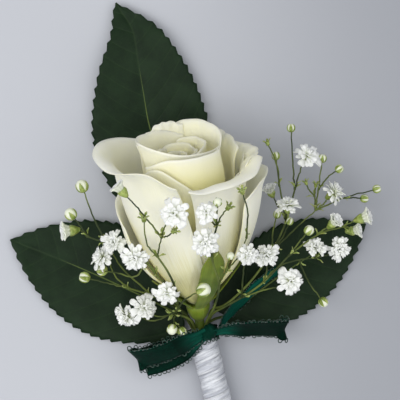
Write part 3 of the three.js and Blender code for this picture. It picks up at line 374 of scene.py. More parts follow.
# turn: degrees round the bloom to the petal's middle. half: degrees from there to each side. radius,
# height: where the middle of its top ends. curl: degrees that its top rolls outwards over its last roll
# millimetres. warm: 1 in the yellow heart. ruffle: how uneven its rim is, in millimetres. shell: how far
# its belly lies off the common side view. lean: how much further out its right side lies. dip: share of
# its height that its sides lose. tip: millimetres of point in the middle. lifts, flares, curls: from its
# left side to its right, how much higher and further out its rim runs, and the share of the curl that it
# has. left, right: the degrees round the bloom where its sides run, from its base to its rim.
Petal = namedtuple(
    "Petal",
    "turn half radius height curl roll warm ruffle shell lean dip tip lifts flares curls left right",
    defaults=(0, 0, 0, 0, (0, 0), (0, 0), (0.65, 0.91, 1, 0.91, 0.65), None, None),
)
HEART = [
    Petal(20, 120, 1.5, 46.2, 0, 3, 1, 0.15, lean=0.9, dip=0.03),
    Petal(160, 115, 2.5, 46.6, 0, 3, 1, 0.2, lean=0.9, dip=0.03),
    Petal(265, 110, 3.5, 47.2, 0, 3, 0.95, 0.25, lean=0.9, dip=0.04),
    Petal(60, 105, 4.5, 47.6, 3, 3, 0.9, 0.3, lean=0.9, dip=0.04),
    Petal(185, 98, 5.5, 48.2, 5, 3, 0.85, 0.35, lean=0.8, dip=0.05),
    Petal(300, 92, 6.6, 48.6, 8, 3, 0.8, 0.35, lean=0.8, dip=0.05),
    Petal(110, 90, 7.6, 49.4, 10, 3, 0.7, 0.4, lean=0.8, dip=0.05),
    Petal(0, 88, 8.5, 49.2, 10, 3, 0.65, 0.3, lean=0.8, dip=0.05),
]
CUP = [
    Petal(140, 76, 11.8, 53, 22, 4, 0.45, 0.3,
          lifts=(-4.7, -2.4, -1.3, -1.3, -3.6), flares=(-0.2, 1, 1.6, 2, 2.1)),
    Petal(232, 72, 10.8, 52, 16, 4, 0.45, 0.2,
          lifts=(-3.8, -1.6, -0.8, 0.4, 0.2), flares=(0.5, 0.8, 0.8, 0.9, 1.3)),
    Petal(5, 88, 11.4, 51.6, 30, 4, 0.35, 0.1, shell=0.6,
          lifts=(2, 0.9, -0.7, -1.7, -2.8), flares=(1.1, -0.1, -0.4, -0.4, 0.1)),
    Petal(8, 66, 13.6, 49.5, 16, 4, 0.5, 0.15, shell=0.6,
          lifts=(-1, 1.4, 1.5, 1.1, 0.6), flares=(-0.3, -0.6, -0.6, -0.7, -1)),
    Petal(335, 58, 14.8, 48.2, 20, 4, 0.45, 0.15, shell=0.6,
          lifts=(-9, -1.5, 1.2, -2.9, -8.2), flares=(-1.6, -1, -0.4, -0.4, -0.6)),
]
GUARDS = [
    Petal(200, 34, 15.5, 51.5, 30, 5, 0.15, 0.9, shell=-1.4,
          lifts=(1, 2.4, 3, 1.4, -0.2), flares=(-3, -3, -3, -2.4, -2.2)),
    Petal(128, 40, 16.6, 50.4, 40, 6, 0.2, 0.9, shell=-1.4,
          lifts=(-1.9, -0.5, -0.1, -0.2, -0.9), flares=(0.5, 0.8, 1.3, 2, 2.5)),
    Petal(72, 40, 17.4, 46.5, 16, 5, 0.3, 0.3, shell=-2.4,
          lifts=(-2, -1.8, -1.7, -1.1, -0.7), flares=(-0.9, -0.7, -0.6, -0.1, 1.8)),
    Petal(100, 40, 21, 48, 50, 7, 0.1, 0.9, shell=-1.6,
          lifts=(1.6, 2.3, 1.9, 1.3, 0.6), flares=(-0.4, 1, 0.5, 0, -0.6)),
    Petal(172, 52, 21.6, 47.4, 60, 9, 0.05, 0.6, lean=0.9, dip=0.12, tip=1.4),
    Petal(292, 76, 21.5, 50.4, 60, 7, 0, 0.3, shell=0.6,
          lifts=(-1.1, 1.9, 5.5, 6.4, 4.4, 3.4, -1.2), flares=(0.3, 1.8, 1.5, 0, -0.7, -2, -1.4),
          curls=(0.2, 0.4, 1.2, 2.2, 2.1, 1.3, 0.9, 0.7),
          left=(232, 222, 214, 212, 212), right=(378, 378, 374, 364, 354.3)),
    Petal(88, 40, 22.5, 46, 20, 6, 0, 0.3, shell=1,
          lifts=(-6.1, -4, -3.5, -4.3, -6), flares=(-2, -0.5, 1.3, 1.8, 1.7)),
    Petal(252, 50, 19.6, 36.5, 12, 6, 0, 0.3, shell=0.9, dip=0.1, tip=1),
    Petal(41, 46, 23, 45.5, 135, 9, 0, 0.25, shell=1.5,
          lifts=(3.6, 5, 4.8, 5.1, 6.6), flares=(-1, -1.2, -0.6, 0, -0.5),
          curls=(0.7, 0.95, 1, 1, 1, 1, 1),
          left=(-16, -14, 0, 8, 3.3), right=(62, 70, 79, 84, 78.7)),
]
CORE_PROFILE = ((0, 0), (2, 0.3), (4.4, 4), (8, 12), (9, 20), (8.6, 28), (5, 38), (0, 42))
CORE_SIDES = 32
INNER_GRID = (49, 30)  # points across a petal and up it
GUARD_GRID = (61, 44)
PETAL_THICK = 0.62
RIM_THICK = 0.42
INNER_TO_OUTER = (12, 20)  # the radii between which a petal's base moves from the core to the bloom's base
INNER_BASE = (22, 30)  # how high an inner petal starts, and its belly
BENT = 1.15  # a petal's length for each millimetre of its height
RIM_FROM = 0.62  # the share of the way up where the ruffles begin
RIM_SWING = 2.5  # how late the rim's lifts and flares set in
SIDE_BUNCHING = 0.94  # how much closer the grid's lines are at the sides and at the rim
RIM_BUNCHING = 0.7
BELLY_WAVES = 0.18
LEAST_CURL = 1e-3


def petal_profile(petal):
    """The petal's side view as if it didn't roll. The inner petals start higher, inside the core."""
    turned_by = math.radians(petal.curl) + LEAST_CURL
    arc = petal.roll / turned_by
    radius = petal.radius - arc * (1 - math.cos(turned_by))
    height = petal.height + petal.roll - arc * math.sin(turned_by)
    base, belly, _, rim = GUARD_PROFILE
    inner = [
        (0.8 * radius, INNER_BASE[0]),
        (0.9 * radius, INNER_BASE[1]),
        (0.95 * radius + petal.shell, 0.8 * height),
    ]
    outer = [
        (base[0] - 0.3 * petal.shell, base[1] + max(0, -petal.shell)),
        (belly[0] + 0.8 * petal.shell, belly[1]),
        (0.95 * (radius + rim[0]) / 2 + petal.shell, 0.36 * height),
    ]
    return (*blend(np.array(inner), np.array(outer), rise(petal.radius, *INNER_TO_OUTER)), (radius, height))


def rolled(petal, profile, long, reach, across):
    """Radius and height at a share of the way up the petal, with its top rolled outwards."""
    start = 1 - petal.roll / long
    radius, height = on_profile(profile, np.minimum(reach, start))
    r1, h1 = on_profile(profile, start)
    r0, h0 = on_profile(profile, start - 0.02)
    heading = math.atan2(r1 - r0, h1 - h0)
    curl = np.radians(petal.curl * spline(petal.curls, across)) + LEAST_CURL
    arc = petal.roll / curl
    turned_by = heading + curl * np.maximum(0, reach - start) / (1 - start)
    radius = np.where(reach > start, r1 + arc * (np.cos(heading) - np.cos(turned_by)), radius)
    height = np.where(reach > start, h1 + arc * (np.sin(turned_by) - np.sin(heading)), height)
    return radius, height


def petal_grid(petal, seed, columns, rows):
    """A petal's middle surface, its across and along values, and the directions out of the bloom."""
    bunched = math.pi / 2 * SIDE_BUNCHING
    u = np.sin(np.linspace(-1, 1, columns) * bunched) / math.sin(bunched)
    v, u = lattice(np.linspace(0, 1, rows) ** RIM_BUNCHING, u)
    side, across = np.abs(u), (u + 1) / 2
    near_rim = rise(v, RIM_FROM, 1)
    profile = petal_profile(petal)
    long = BENT * (petal.height - profile[0][1])
    uneven = petal.ruffle * waves(u, seed, 5, 3, 17) / long
    reach = v * (1 - petal.dip * side ** 2.6) + 0.55 * uneven * near_rim
    radius, height = rolled(petal, profile, long, reach, across)
    height += petal.tip * np.maximum(0, 1 - side * 3) * v ** 6
    height += spline(petal.lifts, across) * v ** RIM_SWING
    radius += petal.lean * u * np.minimum(1, v * 3) + spline(petal.flares, across) * v ** RIM_SWING
    radius += petal.ruffle * 0.8 * near_rim * waves(u * 1.2 + v * 0.6, seed + 50, 5, 2.5, 12)
    radius += BELLY_WAVES * waves(u * 2, seed + 90, 3, 2, 6) * rise(v, 0.1, 0.5) * (1 - 0.5 * near_rim)
    turn = np.radians(petal.turn + petal.half * u * (0.82 + 0.18 * np.sin(math.pi * v)))
    if petal.left:
        turn = np.radians(blend(spline(petal.left, v), spline(petal.right, v), across))
    return in_bloom(turn, flattened(radius, turn), height), u, v, out_from_bloom(turn)


def rose_petals(skin):
    """The bloom: a closed core with the heart's, the cup's and the outer petals round it."""
    shape = Shape(skin)
    turned(shape, CORE_PROFILE, CORE_SIDES, BLOOM_BASE, BLOOM_AXIS)
    for seed, petal in enumerate([*HEART, *CUP, *GUARDS]):
        middle, u, v, outward = petal_grid(petal, seed, *(GUARD_GRID if petal in GUARDS else INNER_GRID))
        edge = np.minimum(rise(1 - np.abs(u), -0.02, 0.06), rise(1 - v, -0.02, 0.05))
        thickness = blend(PETAL_THICK, RIM_THICK, rise(v, 0.3, 1)) * (0.5 + 0.5 * edge)
        # place: degrees round the bloom, share of the way up, and half the warmth, with 1 more outside
        places = triples(petal.turn + petal.half * u, v, petal.warm / 2)
        thin_sheet(shape, middle, thickness, places, outward=outward)
    return shape.finish("rose_bloom")


SEPALS = ((19, 0.73), (91, 0.46), (163, 0.36), (235, 0.36), (300, 0.44))  # degrees round, reach
SEPAL_HALVES = (1.9, 2, 2.2, 2.7, 3.3, 3.1, 0.3)  # half its width, from its base to its tip
SEPAL_GAP = 1.9
SEPAL_ROOT = (2, -2.4)  # radius and height on the hip
SEPAL_THICK = 0.55
SEPAL_TIP_LIFT = 0.9
SEPAL_LENGTHWISE = 30  # points along a sepal and across it
SEPAL_CROSSWISE = 13
HIP_SIDES = 40
HIP_RIPPLE = 0.02
ROSE_STEM_SIDES = 24
ROSE_STEM_BOUND = (STEMS_END + 1, 20, 6)  # distances from the tie of its points in the wrap
ROSE_NECK_HEIGHTS = (-5.4, -3.4)  # on the bloom's axis, under the hip
HIP_PROFILE = (
    (0, -6.4), (1.35, -6.35), (1.6, -6.0), (2.2, -5.3), (2.75, -4.4), (3.15, -3.4), (3.42, -2.4),
    (3.46, -1.7), (3.3, -1.1), (2.8, -0.6), (1.6, -0.35), (0, -0.3),
)


def sepal_grid(turn, reach, seed):
    v, u = lattice(np.linspace(0, 1, SEPAL_LENGTHWISE) ** 0.9, np.linspace(-1, 1, SEPAL_CROSSWISE))
    along = v * reach
    half = spline(SEPAL_HALVES, v) * (1 + 0.05 * waves(v * 3, seed, 4, 3, 14))
    radius = np.maximum(on_profile(GUARD_PROFILE, along)[0], 4)
    gap = SEPAL_GAP * (0.55 + 0.45 * np.minimum(1, v * 4)) - 0.25 * (1 - np.abs(u)) * rise(v, 0.05, 0.3)
    gap = gap + SEPAL_TIP_LIFT * rise(v, 0.75, 1) ** 2 * (0.4 + 0.6 * (seed % 2))
    middle = off_profile(math.radians(turn) + u * half / radius, along, gap)
    root = in_bloom(math.radians(turn) + u * 0.9, *SEPAL_ROOT)
    return blend(root, middle, rise(v, -0.001, 0.07)[..., None]), u, v


def rose_calyx(green, stem_green):
    """The hip, the five sepals that stand round the bloom, and the stem down through the wrap."""
    shape = Shape(green, stem_green)
    turned(shape, HIP_PROFILE, HIP_SIDES, BLOOM_BASE, BLOOM_AXIS, ripple=HIP_RIPPLE)
    for seed, (turn, reach) in enumerate(SEPALS):
        middle, u, v = sepal_grid(turn, reach, seed)
        thickness = SEPAL_THICK * (1 - 0.5 * v) * (0.5 + 0.5 * rise(1 - np.abs(u), -0.1, 0.3))
        outward = middle - (BLOOM_BASE + BLOOM_AXIS * 10)
        thin_sheet(shape, middle, thickness, triples(u, v, 0), outward=outward)
    bound = [in_bundle(d, 0, 0) for d in ROSE_STEM_BOUND]
    neck = smooth_path([in_bundle(-STEM_START, 0, 0), *(in_bloom(0, 0, h) for h in ROSE_NECK_HEIGHTS)], 6)
    line = np.vstack([bound, neck])
    tube(shape, line, np.linspace(ROSE_STEM, ROSE_NECK, len(line)), ROSE_STEM_SIDES, slot=1, cut=1)
    return shape.finish("rose_calyx")


# The leaves

# base, tip: the midrib's ends. half: half the widest width. fall: how the outline narrows to the tip.
# ring: its place in the bundle. rib: its height over the table from base to tip. bow: how far it bends
# to its left, from base to tip. stalk: where its stalk runs, from the tie to the blade.
Leaf = namedtuple("Leaf", "base tip half fall teeth ring rib bow stalk")
LEAVES = {
    "leaf_top": Leaf(
        (-5.8, -11.6), (-24.9, 58.4), half=17.4, fall=0.96, teeth=24, ring=270,
        rib=(0.8, 0.6, 0.7, 1.4, 2.6, 3.4, 2.6), bow=(0, 0, 0, 0, 0, -0.9, -1.8, -2.6, 0),
        stalk=((0.2, -33.4, 3.2), (-0.6, -29, 1.6), (-2.2, -22, 0.7)),
    ),
    "leaf_left": Leaf(
        (-5.2, -34.4), (-56.2, -11.8), half=17, fall=0.95, teeth=19, ring=235,
        rib=(2.2, 1.2, 0.7, 0.6, 0.7, 1.3, 2.4), bow=(0, -0.5, -0.7, -0.5, 0),
        stalk=((-2.6, -35.6, 2.9),),
    ),
    "leaf_right": Leaf(
        (8.6, -34.0), (49.1, -7.1), half=13.5, fall=0.95, teeth=17, ring=305,
        rib=(2.2, 1.2, 0.7, 0.6, 0.7, 1.2, 2.2), bow=(0, 0.85, 1.2, 0.85, 0),
        stalk=((4.4, -35.2, 3.0),),
    ),
}
LEAF_RISE = 0.72
LEAF_LIFT = 2.2
LEAF_THICK = 0.45
LEAF_WAVES = 0.35
OFF_TABLE = 0.03
LOBE = 5  # millimetres that the blade's sides reach back beside its base
LOBE_AT = 0.06
TOOTH_DEPTH = 0.85
TOOTH_LEAN = 0.86
TOOTH_STAGGER = 0.06
STEPS_PER_TOOTH = 8
BLADE_SPAN = (0.002, 0.9995)  # the blade's ends, as shares of the midrib
VEIN_PITCH = 6.2  # millimetres along the midrib
VEIN_SLOPE = 0.62  # how far a side vein runs forward for each millimetre outwards
VEIN_BEND = 0.022
VEIN_STAGGER = 0.45  # how far the left side's veins start after the right side's, in pitches
QUILT = 0.07
GROOVE = 0.3
LEAF_COLUMNS = 37
STALK_THIN = 0.36
STALK_SIDES = 12
RIB_END = 0.12
RIB_SIDES = 8
UNDER_RIB = np.linspace(0.02, 0.9, 40)  # where the rib under the blade runs, as shares of the midrib
UNDER_RIB_HEIGHT = 0.34


def leaf_width(leaf, t):
    """Half the blade's width at t along the midrib."""
    widest = LEAF_RISE / (LEAF_RISE + leaf.fall)
    peak = widest ** LEAF_RISE * (1 - widest) ** leaf.fall
    return leaf.half * t ** LEAF_RISE * (1 - t) ** leaf.fall / peak


def leaf_spot(leaf, t, offset):
    """A point of the leaf's flat upper face: t along the midrib, offset to its left."""
    base, tip = np.array(leaf.base), np.array(leaf.tip)
    left = unit([-(tip - base)[1], (tip - base)[0]])
    flat = base + np.multiply.outer(t, tip - base) + (spline(leaf.bow, t) + offset)[..., None] * left
    share = np.abs(offset) / leaf.half
    high = spline(leaf.rib, t) + LEAF_LIFT * (share ** 1.3 - 0.35 * share ** 4)
    return np.concatenate([flat, high[..., None]], axis=-1)


def leaf_blade(shape, leaf, seed):
    """The blade: saw teeth along its sides, quilted between its veins and grooved along its midrib."""
    long = math.dist(leaf.base, leaf.tip)
    t = np.linspace(*BLADE_SPAN, leaf.teeth * STEPS_PER_TOOTH + 1)
    t, s = lattice(t, np.linspace(-1, 1, LEAF_COLUMNS))
    side = np.abs(s)
    tooth = leaf.teeth * (t + TOOTH_STAGGER * np.sign(s))
    phase = tooth - np.floor(tooth)
    point = np.where(phase < TOOTH_LEAN, phase / TOOTH_LEAN, (1 - phase) / (1 - TOOTH_LEAN))
    width = leaf_width(leaf, t)
    depth = np.minimum(TOOTH_DEPTH, 0.5 * width) * (1 + 0.25 * waves(t * 30, seed, 3, 1, 4))
    offset = s * (width - 0.55 * depth) + np.sign(s) * depth * point * rise(side, 0.86, 1)
    vein = (t * long - VEIN_SLOPE * np.abs(offset) - VEIN_BEND * offset ** 2) / VEIN_PITCH
    vein = vein + np.where(s > 0, VEIN_STAGGER, 0)
    off_vein = np.abs(vein - np.floor(vein) - 0.5) * VEIN_PITCH * 0.8
    quilt = QUILT * (1 - np.exp(-((off_vein / 0.9) ** 2))) * rise(side, 0.03, 0.2) * (1 - rise(side, 0.8, 1))
    groove = GROOVE * np.exp(-((offset / 0.8) ** 2)) * (1 - 0.6 * t)
    upper = leaf_spot(leaf, t, offset)
    wavy = LEAF_WAVES * waves(t * 9 + np.sign(s) * 3, seed + 7, 3, 1.5, 5)
    wavy = wavy * rise(side, 0.5, 1) * rise(t, 0, 0.2) * rise(upper[..., 2], 0.9, 1.8)
    upper[..., 2] += quilt - groove + wavy
    lobe = side ** 1.5 * t / LOBE_AT * np.exp(1 - t / LOBE_AT)
    upper[..., :2] -= LOBE * lobe[..., None] * unit(np.array(leaf.tip) - leaf.base)
    upper[..., 2] -= lobe
    middle = kept_above(upper - (0, 0, LEAF_THICK / 2), LEAF_THICK / 2 + OFF_TABLE)
    thickness = LEAF_THICK * (0.4 + 0.6 * rise(1 - side, -0.02, 0.06))
    thin_sheet(shape, middle, thickness, triples(t * long, offset, 0), outward=np.array(UP))


def leaf(name, blade_skin, stalk_green, seed):
    """A leaf: its blade, its stalk down through the wrap and the rib under its blade."""
    made = LEAVES[name]
    shape = Shape(blade_skin, stalk_green)
    leaf_blade(shape, made, seed)
    half_down = np.array([0, 0, LEAF_THICK / 2])
    rib = leaf_spot(made, np.array([0, 0.05, 0.1]), np.zeros(3)) - half_down
    path = smooth_path([in_bundle(STEM_START, made.ring, STEM_RING), *made.stalk, *rib], 5)
    line = np.vstack([bundled(made.ring), path])
    tube(shape, line, np.linspace(THIN_STEM, STALK_THIN, len(line)), STALK_SIDES, slot=1, cut=1)
    under = leaf_spot(made, UNDER_RIB, np.zeros_like(UNDER_RIB)) - half_down * 1.5
    radii = np.linspace(STALK_THIN, RIB_END, len(UNDER_RIB))
    tube(shape, kept_above(under, UNDER_RIB_HEIGHT), radii, RIB_SIDES, slot=1)
    return shape.finish(name + "_blade")


# Baby's breath

# ring: the stem's place in the bundle. forks: points where twigs meet, by letter. trunk: its points past
# the rose's hip. A twig has what it ends in, its points, its size and the way that its flower looks
# (None: the way that the twig points).
Sprig = namedtuple("Sprig", "ring forks trunk twigs")
Twig = namedtuple("Twig", "end path size look", defaults=(1, None))
SPRIGS = {
    "babys_breath_left": Sprig(165, {
        "a": bloom(-40, 4.5, 3.8), "b": bloom(-20, 14.3, 3.6), "c": bloom(-25, 26.7, 3.2),
        "d": bloom(-18.6, 33.3, 3), "e": bloom(-31.2, 19.5, 3.8), "f": bloom(-34.5, 25.1, 4),
    }, ["a", "b", bloom(-20.5, 21.5, 3.4), "c"], [
        Twig("", ["c", bloom(-22.2, 29.8, 3), "d"]),
        Twig("half open", ["d", bloom(-24.4, 37.9, 3), bloom(-31.5, 43, 3.4), bloom(-38.4, 47.8, 4.6)], 0.9),
        Twig("cup", ["d", bloom(-13.6, 34.1, 3.2), bloom(-8, 36.5, 4)], 0.9),
        Twig("floret", ["d", bloom(-14.2, 37.4, 3.4), bloom(-7, 42.2, 4.9)], 1, (0, -0.1, 1)),
        Twig("cup", ["c", bloom(-30.6, 30.1, 3), bloom(-27.3, 40, 3.6)]),
        Twig("", ["b", "e", "f"]),
        Twig("floret", ["e", "f", bloom(-37.3, 28.3, 6.5)], 1, (-0.1, -0.5, 1)),
        Twig("bud", ["f", (-18.5, -21.6, 25), (-24, -20.8, 18.5), (-28.3, -20.3, 14)]),
        Twig("floret", ["a", bloom(-34, 11, 4.4), bloom(-24.9, 16, 6)], 0.9, (-0.1, -0.5, 1)),
    ]),
    "babys_breath_far_left": Sprig(200, {
        "a": (-14, -28, 8.4), "b": (-20.5, -25.8, 9.6), "c": (-27, -12, 18.6), "d": (-32, -10.6, 16.5),
    }, [(-8, -31, 7.2), "a", "b"], [
        Twig("green bud", ["b", (-27, -24.2, 10), (-33.6, -22.5, 10)]),
        Twig("floret", ["b", (-24.6, -22, 12.6), (-28, -16.6, 16)], 1, (-0.7, 0.35, 0.7)),
        Twig("", ["a", (-22, -20.6, 10.5), (-24.8, -16, 15.5), "c"]),
        Twig("floret", ["c", (-26, -11.9, 20.5), (-24.4, -12, 23)], 1, (-0.1, 0.1, 1)),
        Twig("bud", ["c", (-30.8, -4, 19.4), (-33.6, 4, 20)], 1.15),
        Twig("half open", ["c", "d", (-37.6, -8.8, 14.4)], 1.1, (-0.9, -0.1, 0.3)),
        Twig("bud", ["d", (-34.6, -7, 17.4), (-37, -4, 18.4)], 1.1),
    ]),
    "babys_breath_low": Sprig(130, {
        "a": (-7.5, -32.8, 13), "b": (-7.4, -35, 15.2),
    }, [(-5, -33.6, 12), "a"], [
        Twig("floret", ["a", (-11.5, -33.8, 13), (-16.2, -31.2, 14.6)], 1, (0.2, 0.3, 1)),
        Twig("floret", ["a", (-14, -35, 11.6), (-21.2, -33.4, 12)], 1, (-0.6, -0.2, 0.8)),
        Twig("bud", ["a", "b", (-8, -37.1, 17.7)], 0.95),
        Twig("green bud", ["b", (-6, -36.4, 15.8), (-5.2, -37.9, 15.8)], 0.85),
        Twig("bud", ["a", bloom(-5.2, 14.9, 6), bloom(7, 16.2, 5.6)], 1.25),
    ]),
    "babys_breath_front": Sprig(50, {
        "a": bloom(23.9, 14.9, 4), "b": bloom(15.7, 24.4, 3.4), "c": bloom(19.2, 34.7, 3),
        "d": bloom(30.8, 17.9, 3.2), "e": bloom(47.2, 26.8, 3),
    }, [bloom(36, 3, 4.2), "a", "b", bloom(16.4, 29.8, 3), "c"], [
        Twig("floret", ["b", bloom(12.9, 28.3, 3.6), bloom(9.2, 32.8, 6)], 1, (0, -0.2, 1)),
        Twig("floret", ["c", bloom(15.2, 38, 3.6), bloom(11.2, 41.9, 6)], 0.75, (0, 0, 1)),
        Twig("bud", ["c", bloom(19, 39.4, 4), bloom(18, 44.2, 6.4)], 0.75),
        Twig("cup", ["c", bloom(22.1, 37.7, 3.4), bloom(26.3, 41.2, 5)], 0.9),
        Twig("", ["a", "d", bloom(41.7, 21.4, 3), "e"]),
        Twig("cup", ["e", bloom(44.6, 35.5, 3), bloom(37.3, 43.7, 4)], 0.9),
        Twig("bud", ["d", bloom(29.8, 21.3, 3.6), bloom(28.6, 25.1, 4.6)], 0.7),
    ]),
    "babys_breath_right": Sprig(15, {
        "a": (12, -28, 15.4), "b": (18, -23.6, 18.4), "c": (25.2, -16, 19.6), "d": (33.5, -10, 17.4),
        "e": (41, -7.6, 15.4), "f": (28.6, -17.2, 15), "g": (33.2, -16.8, 14.2),
    }, [(7, -31, 12.4), "a", "b", "c"], [
        Twig("bud", ["c", (28.4, -11.8, 20.2), (31, -8.6, 21)], 0.9),
        Twig("half open", ["c", "d", "e", (47, -5.2, 14.2)], 1, (0.9, 0.3, 0.3)),
        Twig("half open", ["e", (42.8, -8, 13.8), (44.6, -8.8, 12.2)], 0.9, (0.9, 0.15, 0.35)),
        Twig("half open", ["d", (35.8, -8.2, 18.4), (38, -6.6, 19.4)], 0.9, (0.5, 0.5, 0.5)),
        Twig("", ["b", (22.5, -19.2, 16.2), "f", "g"]),
        Twig("floret", ["g", (33.4, -15.4, 15.6), (33, -13.6, 18)], 0.9, (0.1, 0.4, 0.8)),
        Twig("floret", ["g", (37, -15.8, 13.2), (40, -14, 15.4)], 1, (0.1, -0.1, 1)),
        Twig("bud", ["f", (30.5, -22, 13), (33, -26, 11), (36, -29.8, 9.6)], 0.9),
        Twig("floret", ["a", (18.4, -26, 14.4), (23, -24.8, 14.6), (26, -23.2, 17)], 1, (0, -0.1, 1)),
        Twig("floret", ["b", (18.8, -20, 23.4), (18.6, -15.4, 28)], 1, (0, -0.2, 1)),
        Twig("floret", ["a", bloom(46, 17, 5.6), bloom(40, 24.8, 6.6)], 0.8, (0.3, -0.3, 1)),
    ]),
    "babys_breath_far_right": Sprig(340, {
        "a": (20.8, -15, 12), "b": (25, -6, 12.6), "c": (27.4, 3, 13.2), "d": (23, 4, 12.4),
        "e": (33.6, -3, 10), "f": (34.4, 3, 11.4), "g": (33.4, 1, 10.6), "h": (42, 0.6, 10.4),
    }, [(7.2, -30.6, 9.8), (14, -24.4, 11.4), "a", "b", "c"], [
        Twig("green bud", ["c", (26.8, 11, 13.6), (26.3, 20.8, 14)], 0.75),
        Twig("floret", ["c", (28.6, 7.4, 13.8), (30.8, 12.6, 15.4)], 1, (0.3, 0.5, 0.8)),
        Twig("floret", ["b", (24.8, -4, 17), (25, -1.6, 20.4)], 0.9, (0, 0.8, 0.5)),
        Twig("green bud", ["b", "d", (22, 12.8, 12)], 0.75),
        Twig("cup", ["d", (22.2, 10, 15), (19.2, 16.8, 16.8)], 0.8),
        Twig("half open", ["b", (22.4, -1.4, 10.6), (20.6, 2.4, 9.6)], 0.8, (-0.3, 0.6, 0.5)),
        Twig("green bud", ["a", (21.2, -9, 12.6), (22.3, -4.2, 13.4)], 0.7),
        Twig("green bud", ["a", (24, -10.4, 13.4), (25.9, -6.1, 14.6)], 0.7),
        Twig("", ["a", (27, -9, 10.4), "e"]),
        Twig("green bud", ["e", "f", (35.4, 12, 13.6)], 0.75),
        Twig("green bud", ["f", (37, 6.6, 12.6), (40.2, 9, 14)], 0.75),
        Twig("floret", ["e", (36.4, -0.6, 11.4), (38.6, 2, 13)], 1, (0.5, 0.4, 0.3)),
        Twig("cup", ["e", "g", (33.6, 4.8, 12)], 0.75),
        Twig("cup", ["g", (31.6, 3, 11.2), (30.6, 5.4, 12)], 0.7),
        Twig("green bud", ["e", "h", (51.4, 3.2, 11)], 0.75),
        Twig("green bud", ["h", (45, 0.6, 9.6), (48, 0.4, 9)], 0.75),
    ]),
}
HIP_CLEARANCE = 4
HIP_LOW = -4.6
TWIG = 0.26
TWIG_END = 0.17
TWIG_JITTER = 0.07
TWIG_SIDES = 8
FORK_SWELL = 0.35
FORK_REACH = 1.2  # in steps of the twig's line
FLORET_DEPTH = 2.9
FLORET_CUP = 1.35  # the green cup's width
HALF_OPEN_CUP = 1.5
EMPTY_CUP = (0.8, 1.6)  # width, depth
CUP_SIDES = 10
PETAL_STEPS = np.linspace(0, 1, 6)  # where a small petal's points lie, along it and across it
PETAL_ACROSS = np.linspace(-1, 1, 5)
FLORET_SEAT = 0.3  # how far a twig runs into its floret's cup
BUD_RADIUS = 1.5
BUD_SIDES = 20
BUD_RIPPLE = 0.035
SEPAL_COUNT = 5
BUD_SEPAL_OFF = 0.09
BUD_SEPAL_HALF = 0.6  # half its width, as an angle round the bud
SCALE_THICK = 0.14  # small petals and sepals
WHITE_PART, GREEN_PART, TWIG_PART = 0, 1, 2

# Rows of a floret's petals, from the outermost: how many, length, width, lift, and where their base is
DOUBLE = ((12, 4, 1.7, 0.08, 0.5, 0), (12, 3.5, 1.5, 0.42, 0.4, 0.2), (10, 2.8, 1.3, 0.8, 0.3, 0.4),
          (7, 2, 1, 1.25, 0.15, 0.5))
RUFFLED = ((11, 3.8, 1.6, 0.3, 0.5, 0), (11, 3.4, 1.5, 0.66, 0.4, 0.3), (10, 2.8, 1.3, 1, 0.35, 0.5),
           (7, 2.3, 1, 1.3, 0.2, 0.6))
LOOSE = ((8, 4.3, 2.5, 0, 0.5, 0), (7, 3.3, 1.9, 0.5, 0.3, 0.3), (6, 2.2, 1.2, 1.1, 0.15, 0.4))
HALF_OPEN = ((8, 3.4, 1.9, 1.12, 0.9), (6, 3.1, 1.7, 1.3, 0.5), (4, 2.8, 1.3, 1.5, 0.2))
HALF_OPEN_BASE = -0.6


def tilted(points, turn, lift, base):
    """Points of a petal that lies along +X, lifted by an angle, turned about Z and put on its base."""
    x, y, z = points
    out = base[0] + x * math.cos(lift) - z * math.sin(lift)
    high = base[1] + x * math.sin(lift) + z * math.cos(lift)
    return triples(out * math.cos(turn) - y * math.sin(turn), out * math.sin(turn) + y * math.cos(turn), high)


def small_petal(shape, long, wide, turn, lift, base, cupped, notch, twist=0.0, slot=WHITE_PART):
    s, u = lattice(PETAL_STEPS, PETAL_ACROSS)
    half = wide / 2 * (0.24 + 0.76 * rise(s, 0.05, 0.75)) * (1 - 0.3 * rise(s, 0.88, 1))
    x = long * (s - 0.1 * u ** 2 * rise(s, 0.8, 1)) - notch * (1 - np.abs(u)) * rise(s, 0.7, 1)
    z = cupped * (u ** 2) * half - 0.16 * long * rise(s, 0.4, 1) ** 2
    bent = twist * s
    y, z = u * half * np.cos(bent) - z * np.sin(bent), z * np.cos(bent) + u * half * np.sin(bent)
    thin_sheet(shape, tilted((x, y, z), turn, lift, base), SCALE_THICK, triples(u, s, 0), slot)


def green_cup(shape, wide, long):
    profile = (
        (0, -long), (0.45, -long), (0.7, -0.85 * long), (0.8 * wide, -0.5 * long), (wide, -0.22 * long),
        (0.94 * wide, 0.04 * long), (0, -0.1 * long),
    )
    turned(shape, profile, CUP_SIDES, slot=GREEN_PART, ripple=0.08)


def floret(seed, rows, unruly):
    """A double floret that looks along +Z, its middle at the origin: rows of notched petals on a cup."""
    draw = np.random.default_rng(seed)
    shape = Shape()
    green_cup(shape, FLORET_CUP, FLORET_DEPTH)
    for count, long, wide, lift, out, high in rows:
        start = draw.uniform(0, 2 * math.pi)
        for turn in round_turn(count):
            turn += start + draw.normal(0, 0.5 * unruly)
            small_petal(
                shape, long * draw.uniform(0.75, 1.08), wide * draw.uniform(0.75, 1.15), turn,
                lift + draw.normal(0, unruly), (out, high), cupped=draw.uniform(-0.2, 0.6),
                notch=draw.uniform(0.25, 0.9), twist=draw.normal(0, 2 * unruly),
            )
    return shape


